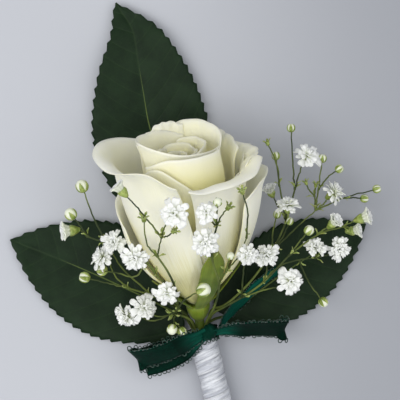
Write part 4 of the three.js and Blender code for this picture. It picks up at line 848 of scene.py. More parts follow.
def half_open(seed):
    """A floret whose petals still stand together over the cup."""
    draw = np.random.default_rng(seed)
    shape = Shape()
    green_cup(shape, HALF_OPEN_CUP, FLORET_DEPTH)
    for count, long, wide, lift, out in HALF_OPEN:
        for k in range(count):
            turn = 2 * math.pi * (k + draw.uniform(-0.1, 0.1)) / count + out
            small_petal(
                shape, long * draw.uniform(0.9, 1.1), wide, turn, lift + draw.uniform(-0.08, 0.1),
                (out, HALF_OPEN_BASE), cupped=0.7, notch=draw.uniform(0.2, 0.5),
            )
    return shape


def bud(cover):
    """A round closed bud about the origin, its sepals round it from below and its point along +Z.

    cover is how far round the bud its sepals reach, as a share of the way to its point."""
    shape = Shape()
    high = np.linspace(0, math.pi, 13)
    profile = [(BUD_RADIUS * math.sin(a) ** 0.85, -BUD_RADIUS * math.cos(a) * 1.06) for a in high]
    turned(shape, profile, BUD_SIDES, slot=WHITE_PART, ripple=BUD_RIPPLE)
    shape.places = [(turn, up, 1) for turn, up, _ in shape.places]
    s, u = lattice(np.linspace(0, 1, 8), PETAL_ACROSS)
    high = math.pi * blend(0.04, cover, s)
    radius = (BUD_RADIUS + BUD_SEPAL_OFF) * np.sin(high) ** 0.85
    for start in round_turn(SEPAL_COUNT):
        turn = start + u * BUD_SEPAL_HALF * (1 - 0.9 * s ** 1.5)
        middle = triples(radius * np.cos(turn), radius * np.sin(turn), -BUD_RADIUS * 1.1 * np.cos(high))
        thin_sheet(shape, middle, SCALE_THICK, triples(u, s, 0), GREEN_PART)
    return shape


def empty_cup():
    """A cup of sepals that has lost its petals, with its five teeth spread."""
    shape = Shape()
    green_cup(shape, *EMPTY_CUP)
    for turn in round_turn(SEPAL_COUNT):
        small_petal(shape, 1.5, 0.8, turn, 0.9, (0.5, -0.5), cupped=0.4, notch=-0.2, slot=GREEN_PART)
    return shape


def bract():
    """A pair of little scales where twigs fork."""
    shape = Shape()
    for turn in (0.4, 3.3):
        small_petal(shape, 1.5, 0.7, turn, 0.85, (0.25, 0), cupped=0.5, notch=-0.3, slot=GREEN_PART)
    return shape


# What stands on the twigs, in the order of the numbers by which the node tree chooses. A twig that ends
# in a floret has any one of the first three.
PATTERNS = {
    "floret": floret(5, DOUBLE, 0.24),
    "ruffled floret": floret(21, RUFFLED, 0.3),
    "loose floret": floret(34, LOOSE, 0.22),
    "half open": half_open(8),
    "bud": bud(0.68),
    "cup": empty_cup(),
    "bract": bract(),
    "green bud": bud(0.86),
}
KINDS = list(PATTERNS)
NO_END = -1

Spot = namedtuple("Spot", "place kind turn size thick", defaults=(0.0,))


class Points:
    """Points that a node tree grows something on: twig points joined in lines, and ends that stand alone."""

    def __init__(self):
        self.spots, self.edges = [], []

    def line(self, points, radii):
        first = len(self.spots)
        self.spots.extend(Spot(place, NO_END, (0, 0, 0), 1, thick) for place, thick in zip(points, radii))
        self.edges.extend((k, k + 1) for k in range(first, len(self.spots) - 1))

    def add(self, place, kind, turn, size):
        self.spots.append(Spot(place, kind, tuple(turn), size))

    def finish(self, name):
        mesh = bpy.data.meshes.new(name)
        places = (np.array([spot.place for spot in self.spots]) + TABLE_SHIFT) * MM
        mesh.from_pydata(places.tolist(), self.edges, [])
        for key, kind in (("thick", "FLOAT"), ("kind", "INT"), ("size", "FLOAT"), ("turn", "FLOAT_VECTOR")):
            values = np.ravel([getattr(spot, key) for spot in self.spots]).tolist()
            field = "vector" if kind == "FLOAT_VECTOR" else "value"
            mesh.attributes.new(key, kind, "POINT").data.foreach_set(field, values)
        return put(name, mesh)


def facing(look, spin):
    """The turn that points +Z along a direction, after a spin about it."""
    quaternion = Vector(look).to_track_quat("Z", "Y")
    return (quaternion.to_matrix() @ Matrix.Rotation(spin, 3, "Z")).to_euler()


def add_node(tree, kind, settings=None, sockets=None):
    """A node of a tree: first its settings, then the values or the links of its sockets."""
    made = tree.nodes.new(kind)
    for key, value in (settings or {}).items():
        setattr(made, key, value)
    for key, value in (sockets or {}).items():
        value = getattr(value, "socket", value)
        if isinstance(value, bpy.types.NodeSocket):
            tree.links.new(value, made.inputs[key])
        else:
            made.inputs[key].default_value = value
    return made


class Tree:
    """A geometry node tree with named inputs."""

    def __init__(self, name, **inputs):
        self.tree = bpy.data.node_groups.new(name, "GeometryNodeTree")
        new_socket = self.tree.interface.new_socket
        new_socket("Geometry", in_out="INPUT", socket_type="NodeSocketGeometry")
        self.sockets = {}
        for key, (kind, value) in inputs.items():
            socket = new_socket(key.replace("_", " "), in_out="INPUT", socket_type=kind)
            socket.default_value = value
            self.sockets[key] = socket.identifier
        new_socket("Geometry", in_out="OUTPUT", socket_type="NodeSocketGeometry")
        self.inputs = self.tree.nodes.new("NodeGroupInput")
        self.output = self.tree.nodes.new("NodeGroupOutput")

    def input(self, key):
        return self.inputs.outputs[key.replace("_", " ")]

    def node(self, kind, settings=None, sockets=None, out=0):
        return add_node(self.tree, kind, settings, sockets).outputs[out]

    def named(self, name, kind):
        return self.node("GeometryNodeInputNamedAttribute", {"data_type": kind}, {"Name": name})

    def scaled(self, name, key):
        """A number that each point holds, times one of the tree's inputs."""
        sockets = {0: self.named(name, "FLOAT"), 1: self.input(key)}
        return self.node("ShaderNodeMath", {"operation": "MULTIPLY"}, sockets)

    def is_number(self, name, number):
        settings = {"data_type": "INT", "operation": "EQUAL"}
        return self.node("FunctionNodeCompare", settings, {2: self.named(name, "INT"), 3: number})

    def copies(self, pattern, scale, **sockets):
        """Copies of an object on the tree's points, turned as each point says."""
        sockets |= {
            "Points": self.input("Geometry"),
            "Instance": self.node("GeometryNodeObjectInfo", None, {"Object": pattern}, out="Geometry"),
            "Rotation": self.named("turn", "FLOAT_VECTOR"),
            "Scale": scale,
        }
        return self.node("GeometryNodeInstanceOnPoints", None, sockets)

    def end(self, parts, skins):
        """Joins the parts, realizes the instances and gives each part its material."""
        joined = add_node(self.tree, "GeometryNodeJoinGeometry")
        for part in parts:
            self.tree.links.new(part, joined.inputs[0])
        last = self.node("GeometryNodeRealizeInstances", None, {"Geometry": joined.outputs[0]})
        last = self.node("GeometryNodeSetShadeSmooth", None, {"Geometry": last})
        for part, skin in skins.items():
            sockets = {"Geometry": last, "Selection": self.is_number("part", part), "Material": skin}
            last = self.node("GeometryNodeSetMaterial", None, sockets)
        self.tree.links.new(last, self.output.inputs[0])


def grow(seed_object, tree, **values):
    """Runs a tree on an object and gives the result as a plain mesh object of the same name."""
    name = seed_object.name
    modifier = seed_object.modifiers.new("grow", "NODES")
    modifier.node_group = tree.tree
    for key, value in values.items():
        modifier[tree.sockets[key]] = value
    depsgraph = bpy.context.evaluated_depsgraph_get()
    mesh = bpy.data.meshes.new_from_object(seed_object.evaluated_get(depsgraph))
    bpy.data.objects.remove(seed_object)
    mesh.name = name
    return put(name, mesh)


def pattern_piece(name, shape):
    """A small object that a tree copies, in metres about its own origin, its faces marked with their part."""
    mesh = shape.mesh(name, MM)
    mesh.attributes.new("part", "INT", "FACE").data.foreach_set("value", shape.slots)
    return put(name, mesh)


def sprig_tree(ends, white, green, twig):
    tree = Tree(
        "sprig", Twig_sides=("NodeSocketInt", TWIG_SIDES), Twig_scale=("NodeSocketFloat", 1.0),
        End_scale=("NodeSocketFloat", 1.0),
    )
    line = tree.node("GeometryNodeMeshToCurve", None, {"Mesh": tree.input("Geometry")})
    ring = {"Resolution": tree.input("Twig_sides"), "Radius": MM}
    twigs = tree.node("GeometryNodeCurveToMesh", None, {
        "Curve": line, "Profile Curve": tree.node("GeometryNodeCurvePrimitiveCircle", None, ring),
        "Scale": tree.scaled("thick", "Twig_scale"), "Fill Caps": True,
    })
    marked = {"Geometry": twigs, "Name": "part", "Value": TWIG_PART}
    parts = [tree.node("GeometryNodeStoreNamedAttribute", {"data_type": "INT", "domain": "FACE"}, marked)]
    scale = tree.scaled("size", "End_scale")
    for number, end in enumerate(ends):
        parts.append(tree.copies(end, scale, Selection=tree.is_number("kind", number)))
    tree.end(parts, {WHITE_PART: white, GREEN_PART: green, TWIG_PART: twig})
    return tree


def past_hip(ring):
    side = math.radians(90 - ring)
    return [in_bundle(STEM_START, ring, SPRIG_RING), in_bloom(side, HIP_CLEARANCE, HIP_LOW)]


def sprig(name, tree, seed):
    """A sprig: its stem, its twigs, swollen a little where they fork, and what they end in."""
    draw = np.random.default_rng(seed)
    ring, forks, trunk, twigs = SPRIGS[name]
    points = Points()
    stem = smooth_path([*past_hip(ring), *(forks.get(spot, spot) for spot in trunk)], 6)
    line = np.vstack([bundled(ring), stem])
    points.line(line, np.linspace(THIN_STEM, TWIG, len(line)))
    for end, path, size, look in twigs:
        path = np.array([forks.get(spot, spot) for spot in path], dtype=float)
        onward = path[-1] - path[-2] if look is None else np.array(look, dtype=float)
        stop = path.copy()
        if end in ("floret", "half open"):
            stop[-1] -= unit(onward) * (FLORET_DEPTH * size - FLORET_SEAT)
        line = smooth_path(stop, 7)
        line[1:-1] += draw.normal(0, TWIG_JITTER, (len(line) - 2, 3))
        swell = FORK_SWELL * np.exp(-((np.linspace(0, len(line), len(line)) / FORK_REACH) ** 2))
        points.line(line, np.linspace(TWIG, TWIG_END, len(line)) * (1 + swell))
        spin = draw.uniform(0, 6)
        points.add(line[1], KINDS.index("bract"), facing(line[1] - line[0], spin), draw.uniform(0.8, 1.3))
        if end:
            kind = int(draw.integers(0, 3)) if end == "floret" else KINDS.index(end)
            points.add(path[-1], kind, facing(onward, draw.uniform(0, 2 * math.pi)), size)
    return grow(points.finish(name + "_sprig"), tree, Twig_sides=TWIG_SIDES)


# The satin tape

WRAP_PITCH = 4.6
WRAP_STEP = 0.25
WRAP_SIDES = 108
WRAP_RINGS = 260
TAPE_FOLDS = 0.09
TAPE_SWELL = 0.1


def sleeve(shape, rings, places):
    """Adds a closed ring-shaped solid: rings of points, the last of which joins the first."""
    shape.add(rings, rings_joined(*rings.shape[:2], closed=True), places)


def satin_wrap(satin):
    """Tape wound round the stems. Each turn starts a step above the last and is pulled into folds."""
    along, turn = lattice(np.linspace(WRAP_TOP, WRAP_END, WRAP_RINGS), np.arange(WRAP_SIDES) / WRAP_SIDES)
    winding = along / WRAP_PITCH - turn
    phase = winding - np.floor(winding)
    step = WRAP_STEP * (1 - phase) * rise(phase, -0.01, 0.06)
    folds = TAPE_FOLDS * waves(winding * 14 + 2.2 * np.sin(turn * 2 * math.pi), 3, 5, 1, 5)
    folds = folds * (0.5 + 0.5 * np.sin(turn * 4 * math.pi + along * 0.7)) * rise(phase, 0.05, 0.3)
    radius = WRAP_RADIUS + step + folds + TAPE_SWELL * np.sin(along * 0.5 + 3)
    outer = kept_above(in_bundle(along, 360 * turn, radius), OFF_TABLE)
    top, end = (in_bundle(d, 360 * turn[:1], WRAP_BORE) for d in (WRAP_TOP, WRAP_END))
    places = triples(turn * 2 * math.pi * WRAP_RADIUS, along, phase)
    shape = Shape(satin)
    sleeve(shape, np.concatenate([top, outer, end]), np.concatenate([places[:1], places, places[-1:]]))
    return shape.finish("satin_tape")


# The ribbon

RIBBON_WIDTH = 8
RIBBON_THICK = 0.34
RIBBON_STEPS = 14  # between two points of a stretch's path
RIBBON_COLUMNS = 17
GATHER = 0.38  # the share of its width that it keeps at the knot
OPENS = 9  # millimetres from the knot to where it is open
PLEAT = 0.42
CUPPED = 0.35
EDGE_RIPPLE = 0.16
KNOT = np.array([2.6, -38.3, 11.8])
KNOT_HALF = (2.6, 2.1, 2.4)
KNOT_TURN = 0.5
KNOT_ROWS = 27
KNOT_SIDES = 48
KNOT_PLEATS = (0.07, 0.03)
RING_INNER = 4.4
RING_OUTER = 4.95
RING_FROM = 0.1  # distances from the tie
RING_TO = 3.4
RING_SIDES = 72
RING_ROWS = (14, 6)  # rings of points on its outer wall and on its inner wall
RING_FOLDS = (0.12, 0.06)
RING_OFF_TABLE = 0.05

# start_way, end_way: the directions across it at its start and its end. loop: it comes back to the knot.
# The last field: how much painted highlight its colour has, where it catches the light.
Stretch = namedtuple("Stretch", "path start_way end_way loop bright")
STRETCHES = (
    Stretch([(1.8, -38.2, 12.6), (-2.4, -40.4, 14.2), (-8.4, -43.4, 14.8), (-13.8, -45.2, 14),
             (-17.4, -46.1, 12), (-18.2, -46.4, 10.4), (-16.2, -45.8, 9.2), (-10, -43.6, 9.8),
             (-3.2, -40.6, 11.2), (1.4, -38.8, 11.2)],
            (-0.34, 0.56, 0.74), (-0.34, 0.6, 0.7), True, 0),
    Stretch([(3.8, -38.2, 12.5), (9, -37.4, 14), (17, -37.1, 14.2), (22.6, -37.4, 12.8), (24.4, -37.6, 11),
             (22.8, -37.6, 9.6), (15, -37.4, 9.6), (9, -37.8, 10.8), (4, -38.4, 11.2)],
            (0, 0.52, 0.85), (0.05, 0.55, 0.82), True, 0),
    Stretch([(5.2, -38.9, 6.4), (7.5, -34.6, 6.4), (12.6, -29.2, 6.4), (17.8, -24.4, 6.6), (23, -20.4, 6.8)],
            (0, 0.5, 0.8), (-0.24, 0.24, 0.92), False, 0.9),
    Stretch([(2.2, -39.4, 11.4), (-3.2, -42.4, 10.8), (-10, -46.4, 8), (-16.6, -48.4, 6.8)],
            (-0.3, 0.6, 0.6), (-0.3, 0.8, 0.4), False, 0),
)
# Painted highlight: how much the ribbon near the knot and the knot itself have, and where it fades away from
# the knot.
NEAR_KNOT_PAINTED_HIGHLIGHT = 0.45
KNOT_PAINTED_HIGHLIGHT = 0.15
KNOT_HIGHLIGHT_FADE = (2, 10)  # millimetres from the knot between which the brightness fades
PICOT_PITCH = 1.5
PICOT_RADIUS = 0.52
PICOT_THREAD = 0.14
PICOT_TURN = np.linspace(-0.35, math.pi + 0.35, 9)  # where its points lie round it
PICOT_SIDES = 6
PICOT_LONG = 1.35  # its length as a share of its width
PICOTS_FROM = 2.5  # millimetres from the knot, and from a loose end
PICOTS_END = 0.3


def ribbon_grid(stretch, seed):
    """A stretch's middle surface, its directions across and its place values."""
    line = smooth_path(stretch.path, RIBBON_STEPS)
    walked = walked_along(line)
    ends = [line[0], line[-1]] if stretch.loop else [line[0]]
    apart = np.min([np.linalg.norm(line - end, axis=1) for end in ends], axis=0)
    opened = rise(apart, 0, OPENS)[:, None]
    share = np.linspace(0, 1, len(line))[:, None]
    way = unit(blend(np.array(stretch.start_way), np.array(stretch.end_way), share))
    heading = unit(np.gradient(line, axis=0))
    way = unit(way - heading * np.sum(way * heading, axis=1, keepdims=True) * 0.6)
    off = unit(np.cross(heading, way))
    a = np.linspace(-0.5, 0.5, RIBBON_COLUMNS)
    pleat = PLEAT * (1 - opened) * np.sin(a * 5 * math.pi + seed)
    cupped = CUPPED * opened * (4 * a ** 2 - 0.4) * np.sin(walked / 7 + seed)[:, None]
    ripple = EDGE_RIPPLE * waves(walked / 2.2, seed, 4, 1, 4)[:, None] * (2 * a) ** 2
    width = RIBBON_WIDTH * blend(GATHER, 1, opened)
    grid = line[:, None] + way[:, None] * (width * a)[..., None]
    grid = grid + off[:, None] * (pleat + cupped + ripple)[..., None]
    # The painted highlight goes in the third place value: strong on the loose end and fading away from the
    # knot.
    bright = np.maximum(stretch.bright, NEAR_KNOT_PAINTED_HIGHLIGHT * (1 - rise(apart, *KNOT_HIGHLIGHT_FADE)))
    return grid, way, triples(a * RIBBON_WIDTH, walked[:, None], bright[:, None])


def add_ring(shape):
    """The ribbon's turn round the wrap: rings down its outer wall, then up its inner wall."""
    outer, inner = RING_ROWS
    down_and_up = [*np.linspace(RING_FROM, RING_TO, outer), *np.linspace(RING_TO, RING_FROM, inner)]
    distance, turn = lattice(down_and_up, np.arange(RING_SIDES) / RING_SIDES)
    deep, fine = RING_FOLDS
    folds = deep * np.sin(distance * 4.1) + fine * np.sin(turn * 20 + distance * 3)
    folds[outer:] = 0
    wall = np.repeat([RING_OUTER, RING_INNER], RING_ROWS)[:, None]
    rings = kept_above(in_bundle(distance, 360 * turn, wall + folds), RING_OFF_TABLE)
    sleeve(shape, rings, triples(distance, turn * 30, 0))


def add_knot(shape):
    """The knot: a pleated roll of ribbon that lies across the ring."""
    a, turn = lattice(np.linspace(-1, 1, KNOT_ROWS), round_turn(KNOT_SIDES))
    swell = (1 - np.abs(a) ** 3.2) ** 0.5
    deep, fine = KNOT_PLEATS
    pleats = 1 + deep * np.sin(a * 11 + 1.4 * np.sin(turn)) + fine * np.sin(a * 23 + turn)
    right, along, up = KNOT_HALF
    across = spokes(KNOT_TURN, BUNDLE_RIGHT, -BUNDLE_AXIS)
    down = spokes(KNOT_TURN, BUNDLE_AXIS, BUNDLE_RIGHT)
    round_it = spokes(turn, down * along, BUNDLE_UP * up)
    points = KNOT + np.multiply.outer(a * right, across) + (swell * pleats)[..., None] * round_it
    # The knot's third place value is its painted highlight.
    shape.add(points, rings_joined(*a.shape), triples(a * 2.5, turn * 3, KNOT_PAINTED_HIGHLIGHT))


def ribbon(skin):
    """The ribbon's loops, ends, the ring round the wrap and the knot, all one ribbon."""
    shape = Shape(skin)
    for seed, stretch in enumerate(STRETCHES):
        grid, _, places = ribbon_grid(stretch, seed)
        thin_sheet(shape, grid, RIBBON_THICK, places)
    add_ring(shape)
    add_knot(shape)
    return shape.finish("ribbon")


def picot():
    """A small thread loop that stands out along +Y from the ribbon's edge, in the plane of X and Y."""
    shape = Shape()
    line = PICOT_RADIUS * triples(np.cos(PICOT_TURN), np.sin(PICOT_TURN) * PICOT_LONG + 0.4, 0)
    tube(shape, line, PICOT_THREAD, PICOT_SIDES)
    return shape


def picot_tree(loop, thread):
    tree = Tree("picots", Loop_scale=("NodeSocketFloat", 1.0))
    tree.end([tree.copies(loop, tree.scaled("size", "Loop_scale"))], {0: thread})
    return tree


def standing(heading, out, tilt=0.0):
    """The turn that lays +X along an edge and points +Y out of it, tilted about the edge."""
    axes = Matrix((heading, out, np.cross(heading, out))).transposed()
    return (axes @ Matrix.Rotation(tilt, 3, "X")).to_euler()


def ribbon_picots(tree):
    """Picots on both edges of each stretch of ribbon and on the ring's lower edge."""
    draw = np.random.default_rng(12)
    points = Points()
    for seed, stretch in enumerate(STRETCHES):
        grid, way, _ = ribbon_grid(stretch, seed)
        for column, out in ((0, -way), (-1, way)):
            edge = grid[:, column]
            walked = walked_along(edge)
            last = walked[-1] - (PICOTS_FROM if stretch.loop else PICOTS_END)
            for stop in np.arange(PICOTS_FROM, last, PICOT_PITCH):
                k = int(np.searchsorted(walked, stop))
                heading = unit(edge[min(k + 1, len(edge) - 1)] - edge[k - 1])
                outward = unit(out[k] - heading * np.dot(out[k], heading))
                turn = standing(heading, outward, draw.uniform(-0.5, 0.5))
                points.add(edge[k], 0, turn, draw.uniform(0.85, 1.15))
    for degrees in np.arange(0, 360, math.degrees(PICOT_PITCH / RING_OUTER)):
        spot = in_bundle(RING_TO, degrees, (RING_INNER + RING_OUTER) / 2)
        heading = unit(in_bundle(RING_TO, degrees + 1, RING_OUTER) - in_bundle(RING_TO, degrees, RING_OUTER))
        points.add(spot, 0, standing(heading, BUNDLE_AXIS), draw.uniform(0.9, 1.2))
    return grow(points.finish("ribbon_picots"), tree)


# Materials


class Value:
    """A number socket of a material. Python's operators on it add Math nodes."""

    def __init__(self, skin, socket):
        self.skin = skin
        self.socket = socket

    def math(self, operation, *others):
        return self.skin.node("ShaderNodeMath", {"operation": operation}, dict(enumerate((self, *others))))

    def __add__(self, other):
        return self.math("ADD", other)

    def __sub__(self, other):
        return self.math("SUBTRACT", other)

    def __mul__(self, other):
        return self.math("MULTIPLY", other)

    def __truediv__(self, other):
        return self.math("DIVIDE", other)

    def __rsub__(self, other):
        return (self * -1) + other

    def __gt__(self, other):
        return self.math("GREATER_THAN", other)

    __radd__ = __add__
    __rmul__ = __mul__

    def rise(self, low, high):
        """0 below low, 1 above high, smooth between."""
        sockets = {"Value": self, "From Min": low, "From Max": high}
        return self.skin.node("ShaderNodeMapRange", {"interpolation_type": "SMOOTHSTEP"}, sockets)


class Skin:
    """A material, and the patterns and coats of colour that it is made of."""

    def __init__(self, name, **fixed):
        self.material = bpy.data.materials.new(name)
        self.material.use_nodes = True
        self.tree = self.material.node_tree
        self.tree.nodes.clear()
        fixed = {key.replace("_", " "): value for key, value in fixed.items()}
        self.shader = add_node(self.tree, "ShaderNodeBsdfPrincipled", None, fixed)
        add_node(self.tree, "ShaderNodeOutputMaterial", None, {"Surface": self.shader.outputs[0]})

    def node(self, kind, settings=None, sockets=None, out=0):
        return Value(self, add_node(self.tree, kind, settings, sockets).outputs[out])

    def apart(self, vector):
        """The three numbers of a vector."""
        parts = add_node(self.tree, "ShaderNodeSeparateXYZ", None, {0: vector})
        return tuple(Value(self, socket) for socket in parts.outputs)

    def place(self):
        """The three parts of the piece's place attribute."""
        return self.apart(self.node("ShaderNodeAttribute", {"attribute_name": "place"}, out="Vector"))

    def vector(self, x, y, z):
        return self.node("ShaderNodeCombineXYZ", None, {"X": x, "Y": y, "Z": z})

    def object_point(self):
        return self.node("ShaderNodeTexCoord", out="Object")

    def noise(self, vector, scale, detail=2.0, rough=0.5, distortion=0.0):
        return self.node("ShaderNodeTexNoise", None, {
            "Vector": vector, "Scale": scale, "Detail": detail, "Roughness": rough, "Distortion": distortion,
        })

    def grain(self, scale):
        """Noise that is fixed to the piece, finer as the scale rises."""
        return self.noise(self.object_point(), scale)

    def threads(self, direction, vector, scale, distortion):
        """Waves side by side along X or Y, as the threads of cloth lie."""
        settings = {"wave_type": "BANDS", "bands_direction": direction}
        sockets = {"Vector": vector, "Scale": scale, "Distortion": distortion}
        return self.node("ShaderNodeTexWave", settings, sockets)

    def mix(self, factor, first, second):
        """A colour between two."""
        return self.node("ShaderNodeMix", {"data_type": "RGBA"}, {"Factor": factor, 6: first, 7: second}, 2)

    def paint(self, base, *coats):
        """A colour under thin coats. Each coat is how thick it lies and its colour."""
        for thick, tint in coats:
            base = self.mix(thick, base, tint)
        return base

    def bump(self, height, strength, distance, under=None):
        sockets = {"Height": height, "Strength": strength, "Distance": distance}
        if under is not None:
            sockets["Normal"] = under
        return self.node("ShaderNodeBump", None, sockets)

    def finish(self, base, roughness, normal=None):
        """The finished material."""
        for key, value in (("Base Color", base), ("Roughness", roughness), ("Normal", normal)):
            if value is not None:
                self.tree.links.new(value.socket, self.shader.inputs[key])
        return self.material


def colour(red, green, blue):
    """A linear colour from the 0 to 255 values that a screen shows."""
    shares = [x / 255 for x in (red, green, blue)]
    return (*(((x + 0.055) / 1.055) ** 2.4 if x > 0.04 else x / 12.92 for x in shares), 1)


def petal_skin():
    """White to cream, yellower low down, in the heart and on the cup, and green at the petal's foot. Painted
    shade in ivory and a painted warm glow lie deep in the bloom, on the outer faces of the cup's and the
    heart's petals.
    """
    skin = Skin("petal", IOR=1.4, Subsurface_Weight=0.3, Subsurface_Scale=0.003,
                Subsurface_Radius=(1, 0.94, 0.6), Sheen_Weight=0.12, Sheen_Roughness=0.5)
    round_it, up, warmth = skin.place()
    outside = warmth > 0.9
    warm = (warmth - outside) * 2
    fibres = skin.noise(skin.vector(round_it * 0.55, up * 1.3, warmth), 3.2, 3, 0.6)
    veins = skin.noise(skin.vector(round_it * 0.24, up * 2.2, warmth + 4), 3, 2, 0.5, 0.6)
    low = 1 - up.rise(0.1, 0.95)
    foot = 1 - up.rise(0.02, 0.34)
    cup = outside * warm.rise(0.3, 0.5)
    # deep adds a painted warm glow to the yellow, low on the outer faces of the cup's and the heart's petals,
    # where light bounces inside the bloom.
    deep = cup * (1 - up.rise(0.72, 1)) * 0.7
    white, cream, yellow = colour(253, 252, 234), colour(251, 249, 216), colour(246, 238, 150)
    # The darker ivory is painted shade on the outer faces of the cup's and the heart's petals, which lie
    # inside the bloom.
    painted_shade_ivory, straw = colour(230, 226, 190), colour(226, 218, 150)
    base = skin.paint(
        skin.mix(skin.grain(45).rise(0.3, 0.75), white, cream),
        ((low * (outside * 0.4 + 0.5) + warm * 0.5 + deep).rise(0, 1.1), yellow),
        (cup * 0.5, painted_shade_ivory),
        (low.rise(0.1, 0.7) * fibres.rise(0.45, 0.62) * 0.7, straw),
        (foot * 0.6 * (0.5 + veins * 0.9), colour(212, 215, 128)),
        (up.rise(0.93, 1) * 0.5, colour(236, 236, 228)),
    )
    fine = skin.bump(fibres, 0.25, 0.00012)
    return skin.finish(base, 0.48 + fibres * 0.16, skin.bump(veins, 0.3, 0.0004, fine))


def leaf_skin():
    """Dark glossy green above, paler below, with a faint net of veins."""
    skin = Skin("leaf", IOR=1.24)
    along, off, outer = skin.place()
    away = off.math("ABSOLUTE")
    left = off > 0
    vein = (along - away * VEIN_SLOPE - away * away * VEIN_BEND) / VEIN_PITCH + left * VEIN_STAGGER
    near_vein = ((vein - vein.math("FLOOR")) - 0.5).math("ABSOLUTE")
    side_vein = 1 - near_vein.rise(0.01, 0.075)
    midrib = 1 - away.rise(0.12, 0.42)
    net = skin.node("ShaderNodeTexVoronoi", {"feature": "DISTANCE_TO_EDGE"},
                    {"Vector": skin.vector(along, off, 0), "Scale": 1.15})
    net = 1 - net.rise(0.0, 0.09)
    cloud = skin.noise(skin.vector(along, off, outer * 7), 0.16, 3, 0.6)
    speck = skin.noise(skin.vector(along, off, outer * 5), 1.6, 3, 0.6)
    underside = colour(92, 116, 84)
    base = skin.paint(
        skin.mix(cloud.rise(0.3, 0.7), colour(12, 31, 14), colour(22, 42, 22)),
        (speck.rise(0.45, 0.8) * 0.25, colour(28, 48, 24)),
        (net * 0.06, colour(48, 70, 38)),
        (side_vein * 0.08, colour(58, 80, 46)),
        (midrib * 0.12, colour(66, 86, 52)),
        ((1 - outer) * 0.6, underside),
    )
    pores = skin.bump(net, 0.12, 0.0002)
    veins = skin.bump(side_vein * -1 + speck * 0.5, 0.22, 0.0002, pores)
    return skin.finish(base, 0.46 + speck * 0.18, veins)


def calyx_skin():
    """Yellow-green sepals with a pale rib, fibres along them and a browned tip."""
    skin = Skin("sepal", IOR=1.4, Subsurface_Weight=0.12, Subsurface_Scale=0.0015, Sheen_Weight=0.1)
    across, up, outer = skin.place()
    fibres = skin.noise(skin.vector(across * 6, up * 1.2, outer), 2.4, 3, 0.6)
    rib = 1 - across.math("ABSOLUTE").rise(0.03, 0.16)
    base = skin.paint(
        skin.mix(skin.grain(160).rise(0.35, 0.7), colour(88, 112, 14), colour(118, 136, 34)),
        (fibres.rise(0.45, 0.7) * 0.35, colour(70, 92, 24)),
        (rib * 0.25, colour(140, 160, 74)),
        (up.rise(0.8, 1) * 0.4, colour(96, 96, 40)),
    )
    return skin.finish(base, 0.45 + fibres * 0.2, skin.bump(fibres, 0.3, 0.0002))


def stalk_skin(name, dark, light):
    """The skin of a stem: streaks along it and a pale cut end."""
    skin = Skin(name, IOR=1.4, Subsurface_Weight=0.05, Subsurface_Scale=0.001)
    turn, along, cut = skin.place()
    streaks = skin.noise(skin.vector(turn, along * 0.08, 0), 2.5, 3, 0.6)
    base = skin.paint(
        skin.mix(streaks * 0.6 + skin.grain(220) * 0.4, dark, light),
        (cut.rise(0.25, 0.6), colour(196, 200, 150)),
    )
    return skin.finish(base, 0.45 + streaks * 0.2, skin.bump(streaks, 0.3, 0.0002))


def twig_skin():
    """Green twigs, darker in places and finely streaked."""
    skin = Skin("twig", IOR=1.4)
    streak = skin.grain(900)
    base = skin.paint(
        skin.mix(skin.grain(95).rise(0.38, 0.62), colour(44, 58, 22), colour(104, 118, 52)),
        (streak * 0.3, colour(48, 60, 26)),
    )
    return skin.finish(base, 0.5 + streak * 0.2, skin.bump(streak, 0.2, 0.00008))


def floret_skin():
    """White petals, greenish at their foot, and greener on a closed bud."""
    skin = Skin("floret", IOR=1.4, Subsurface_Weight=0.3, Subsurface_Scale=0.0012,
                Subsurface_Radius=(1, 1, 0.9))
    across, up, closed = skin.place()
    lines = skin.noise(skin.vector(across * 5, up, 0), 2.5)
    base = skin.paint(
        skin.mix(up.rise(0.02, 0.45), colour(210, 218, 178), colour(246, 248, 247)),
        (lines.rise(0.5, 0.8) * 0.2, colour(214, 220, 224)),
        (closed * 0.55, colour(212, 220, 176)),
    )
    return skin.finish(base, 0.5 + skin.grain(1400) * 0.2, skin.bump(lines, 0.3, 0.00015))


def cup_skin():
    """The pale green of the florets' cups and sepals, paler at their tips."""
    skin = Skin("small sepal", IOR=1.4, Subsurface_Weight=0.1, Subsurface_Scale=0.001)
    _, up, _ = skin.place()
    grain = skin.grain(700)
    base = skin.paint(
        skin.mix(grain.rise(0.35, 0.7), colour(112, 130, 52), colour(168, 182, 104)),
        (up.rise(0.6, 1) * 0.5, colour(190, 200, 140)),
    )
    return skin.finish(base, 0.5 + grain * 0.2, skin.bump(grain, 0.2, 0.0001))


def satin_skin():
    """White satin with soft folds, painted shade in the folds' hollows and along the edge of each turn, and
    fine threads.
    """
    skin = Skin("satin tape", IOR=1.45, Sheen_Weight=0.3, Sheen_Roughness=0.35)
    round_it, along, phase = skin.place()
    winding = along / WRAP_PITCH - round_it / (2 * math.pi * WRAP_RADIUS)
    folds = skin.noise(skin.vector(round_it * 0.04, winding * 2.2, 0), 2.2, 3, 0.5, 0.5)
    threads = skin.threads("Y", skin.vector(round_it * 0.1, winding, 0), 26, 0.4)
    # The darker greys are painted shade, in the hollows of the folds and along the edge where each turn
    # starts.
    base = skin.paint(
        skin.mix(folds.rise(0.3, 0.7), colour(176, 180, 192), colour(226, 229, 236)),
        ((1 - phase.rise(0, 0.035)) * 0.4, colour(170, 174, 186)),
    )
    fine = skin.bump(threads, 0.1, 0.00005)
    return skin.finish(base, 0.3 + folds * 0.2, skin.bump(folds, 0.9, 0.002, fine))


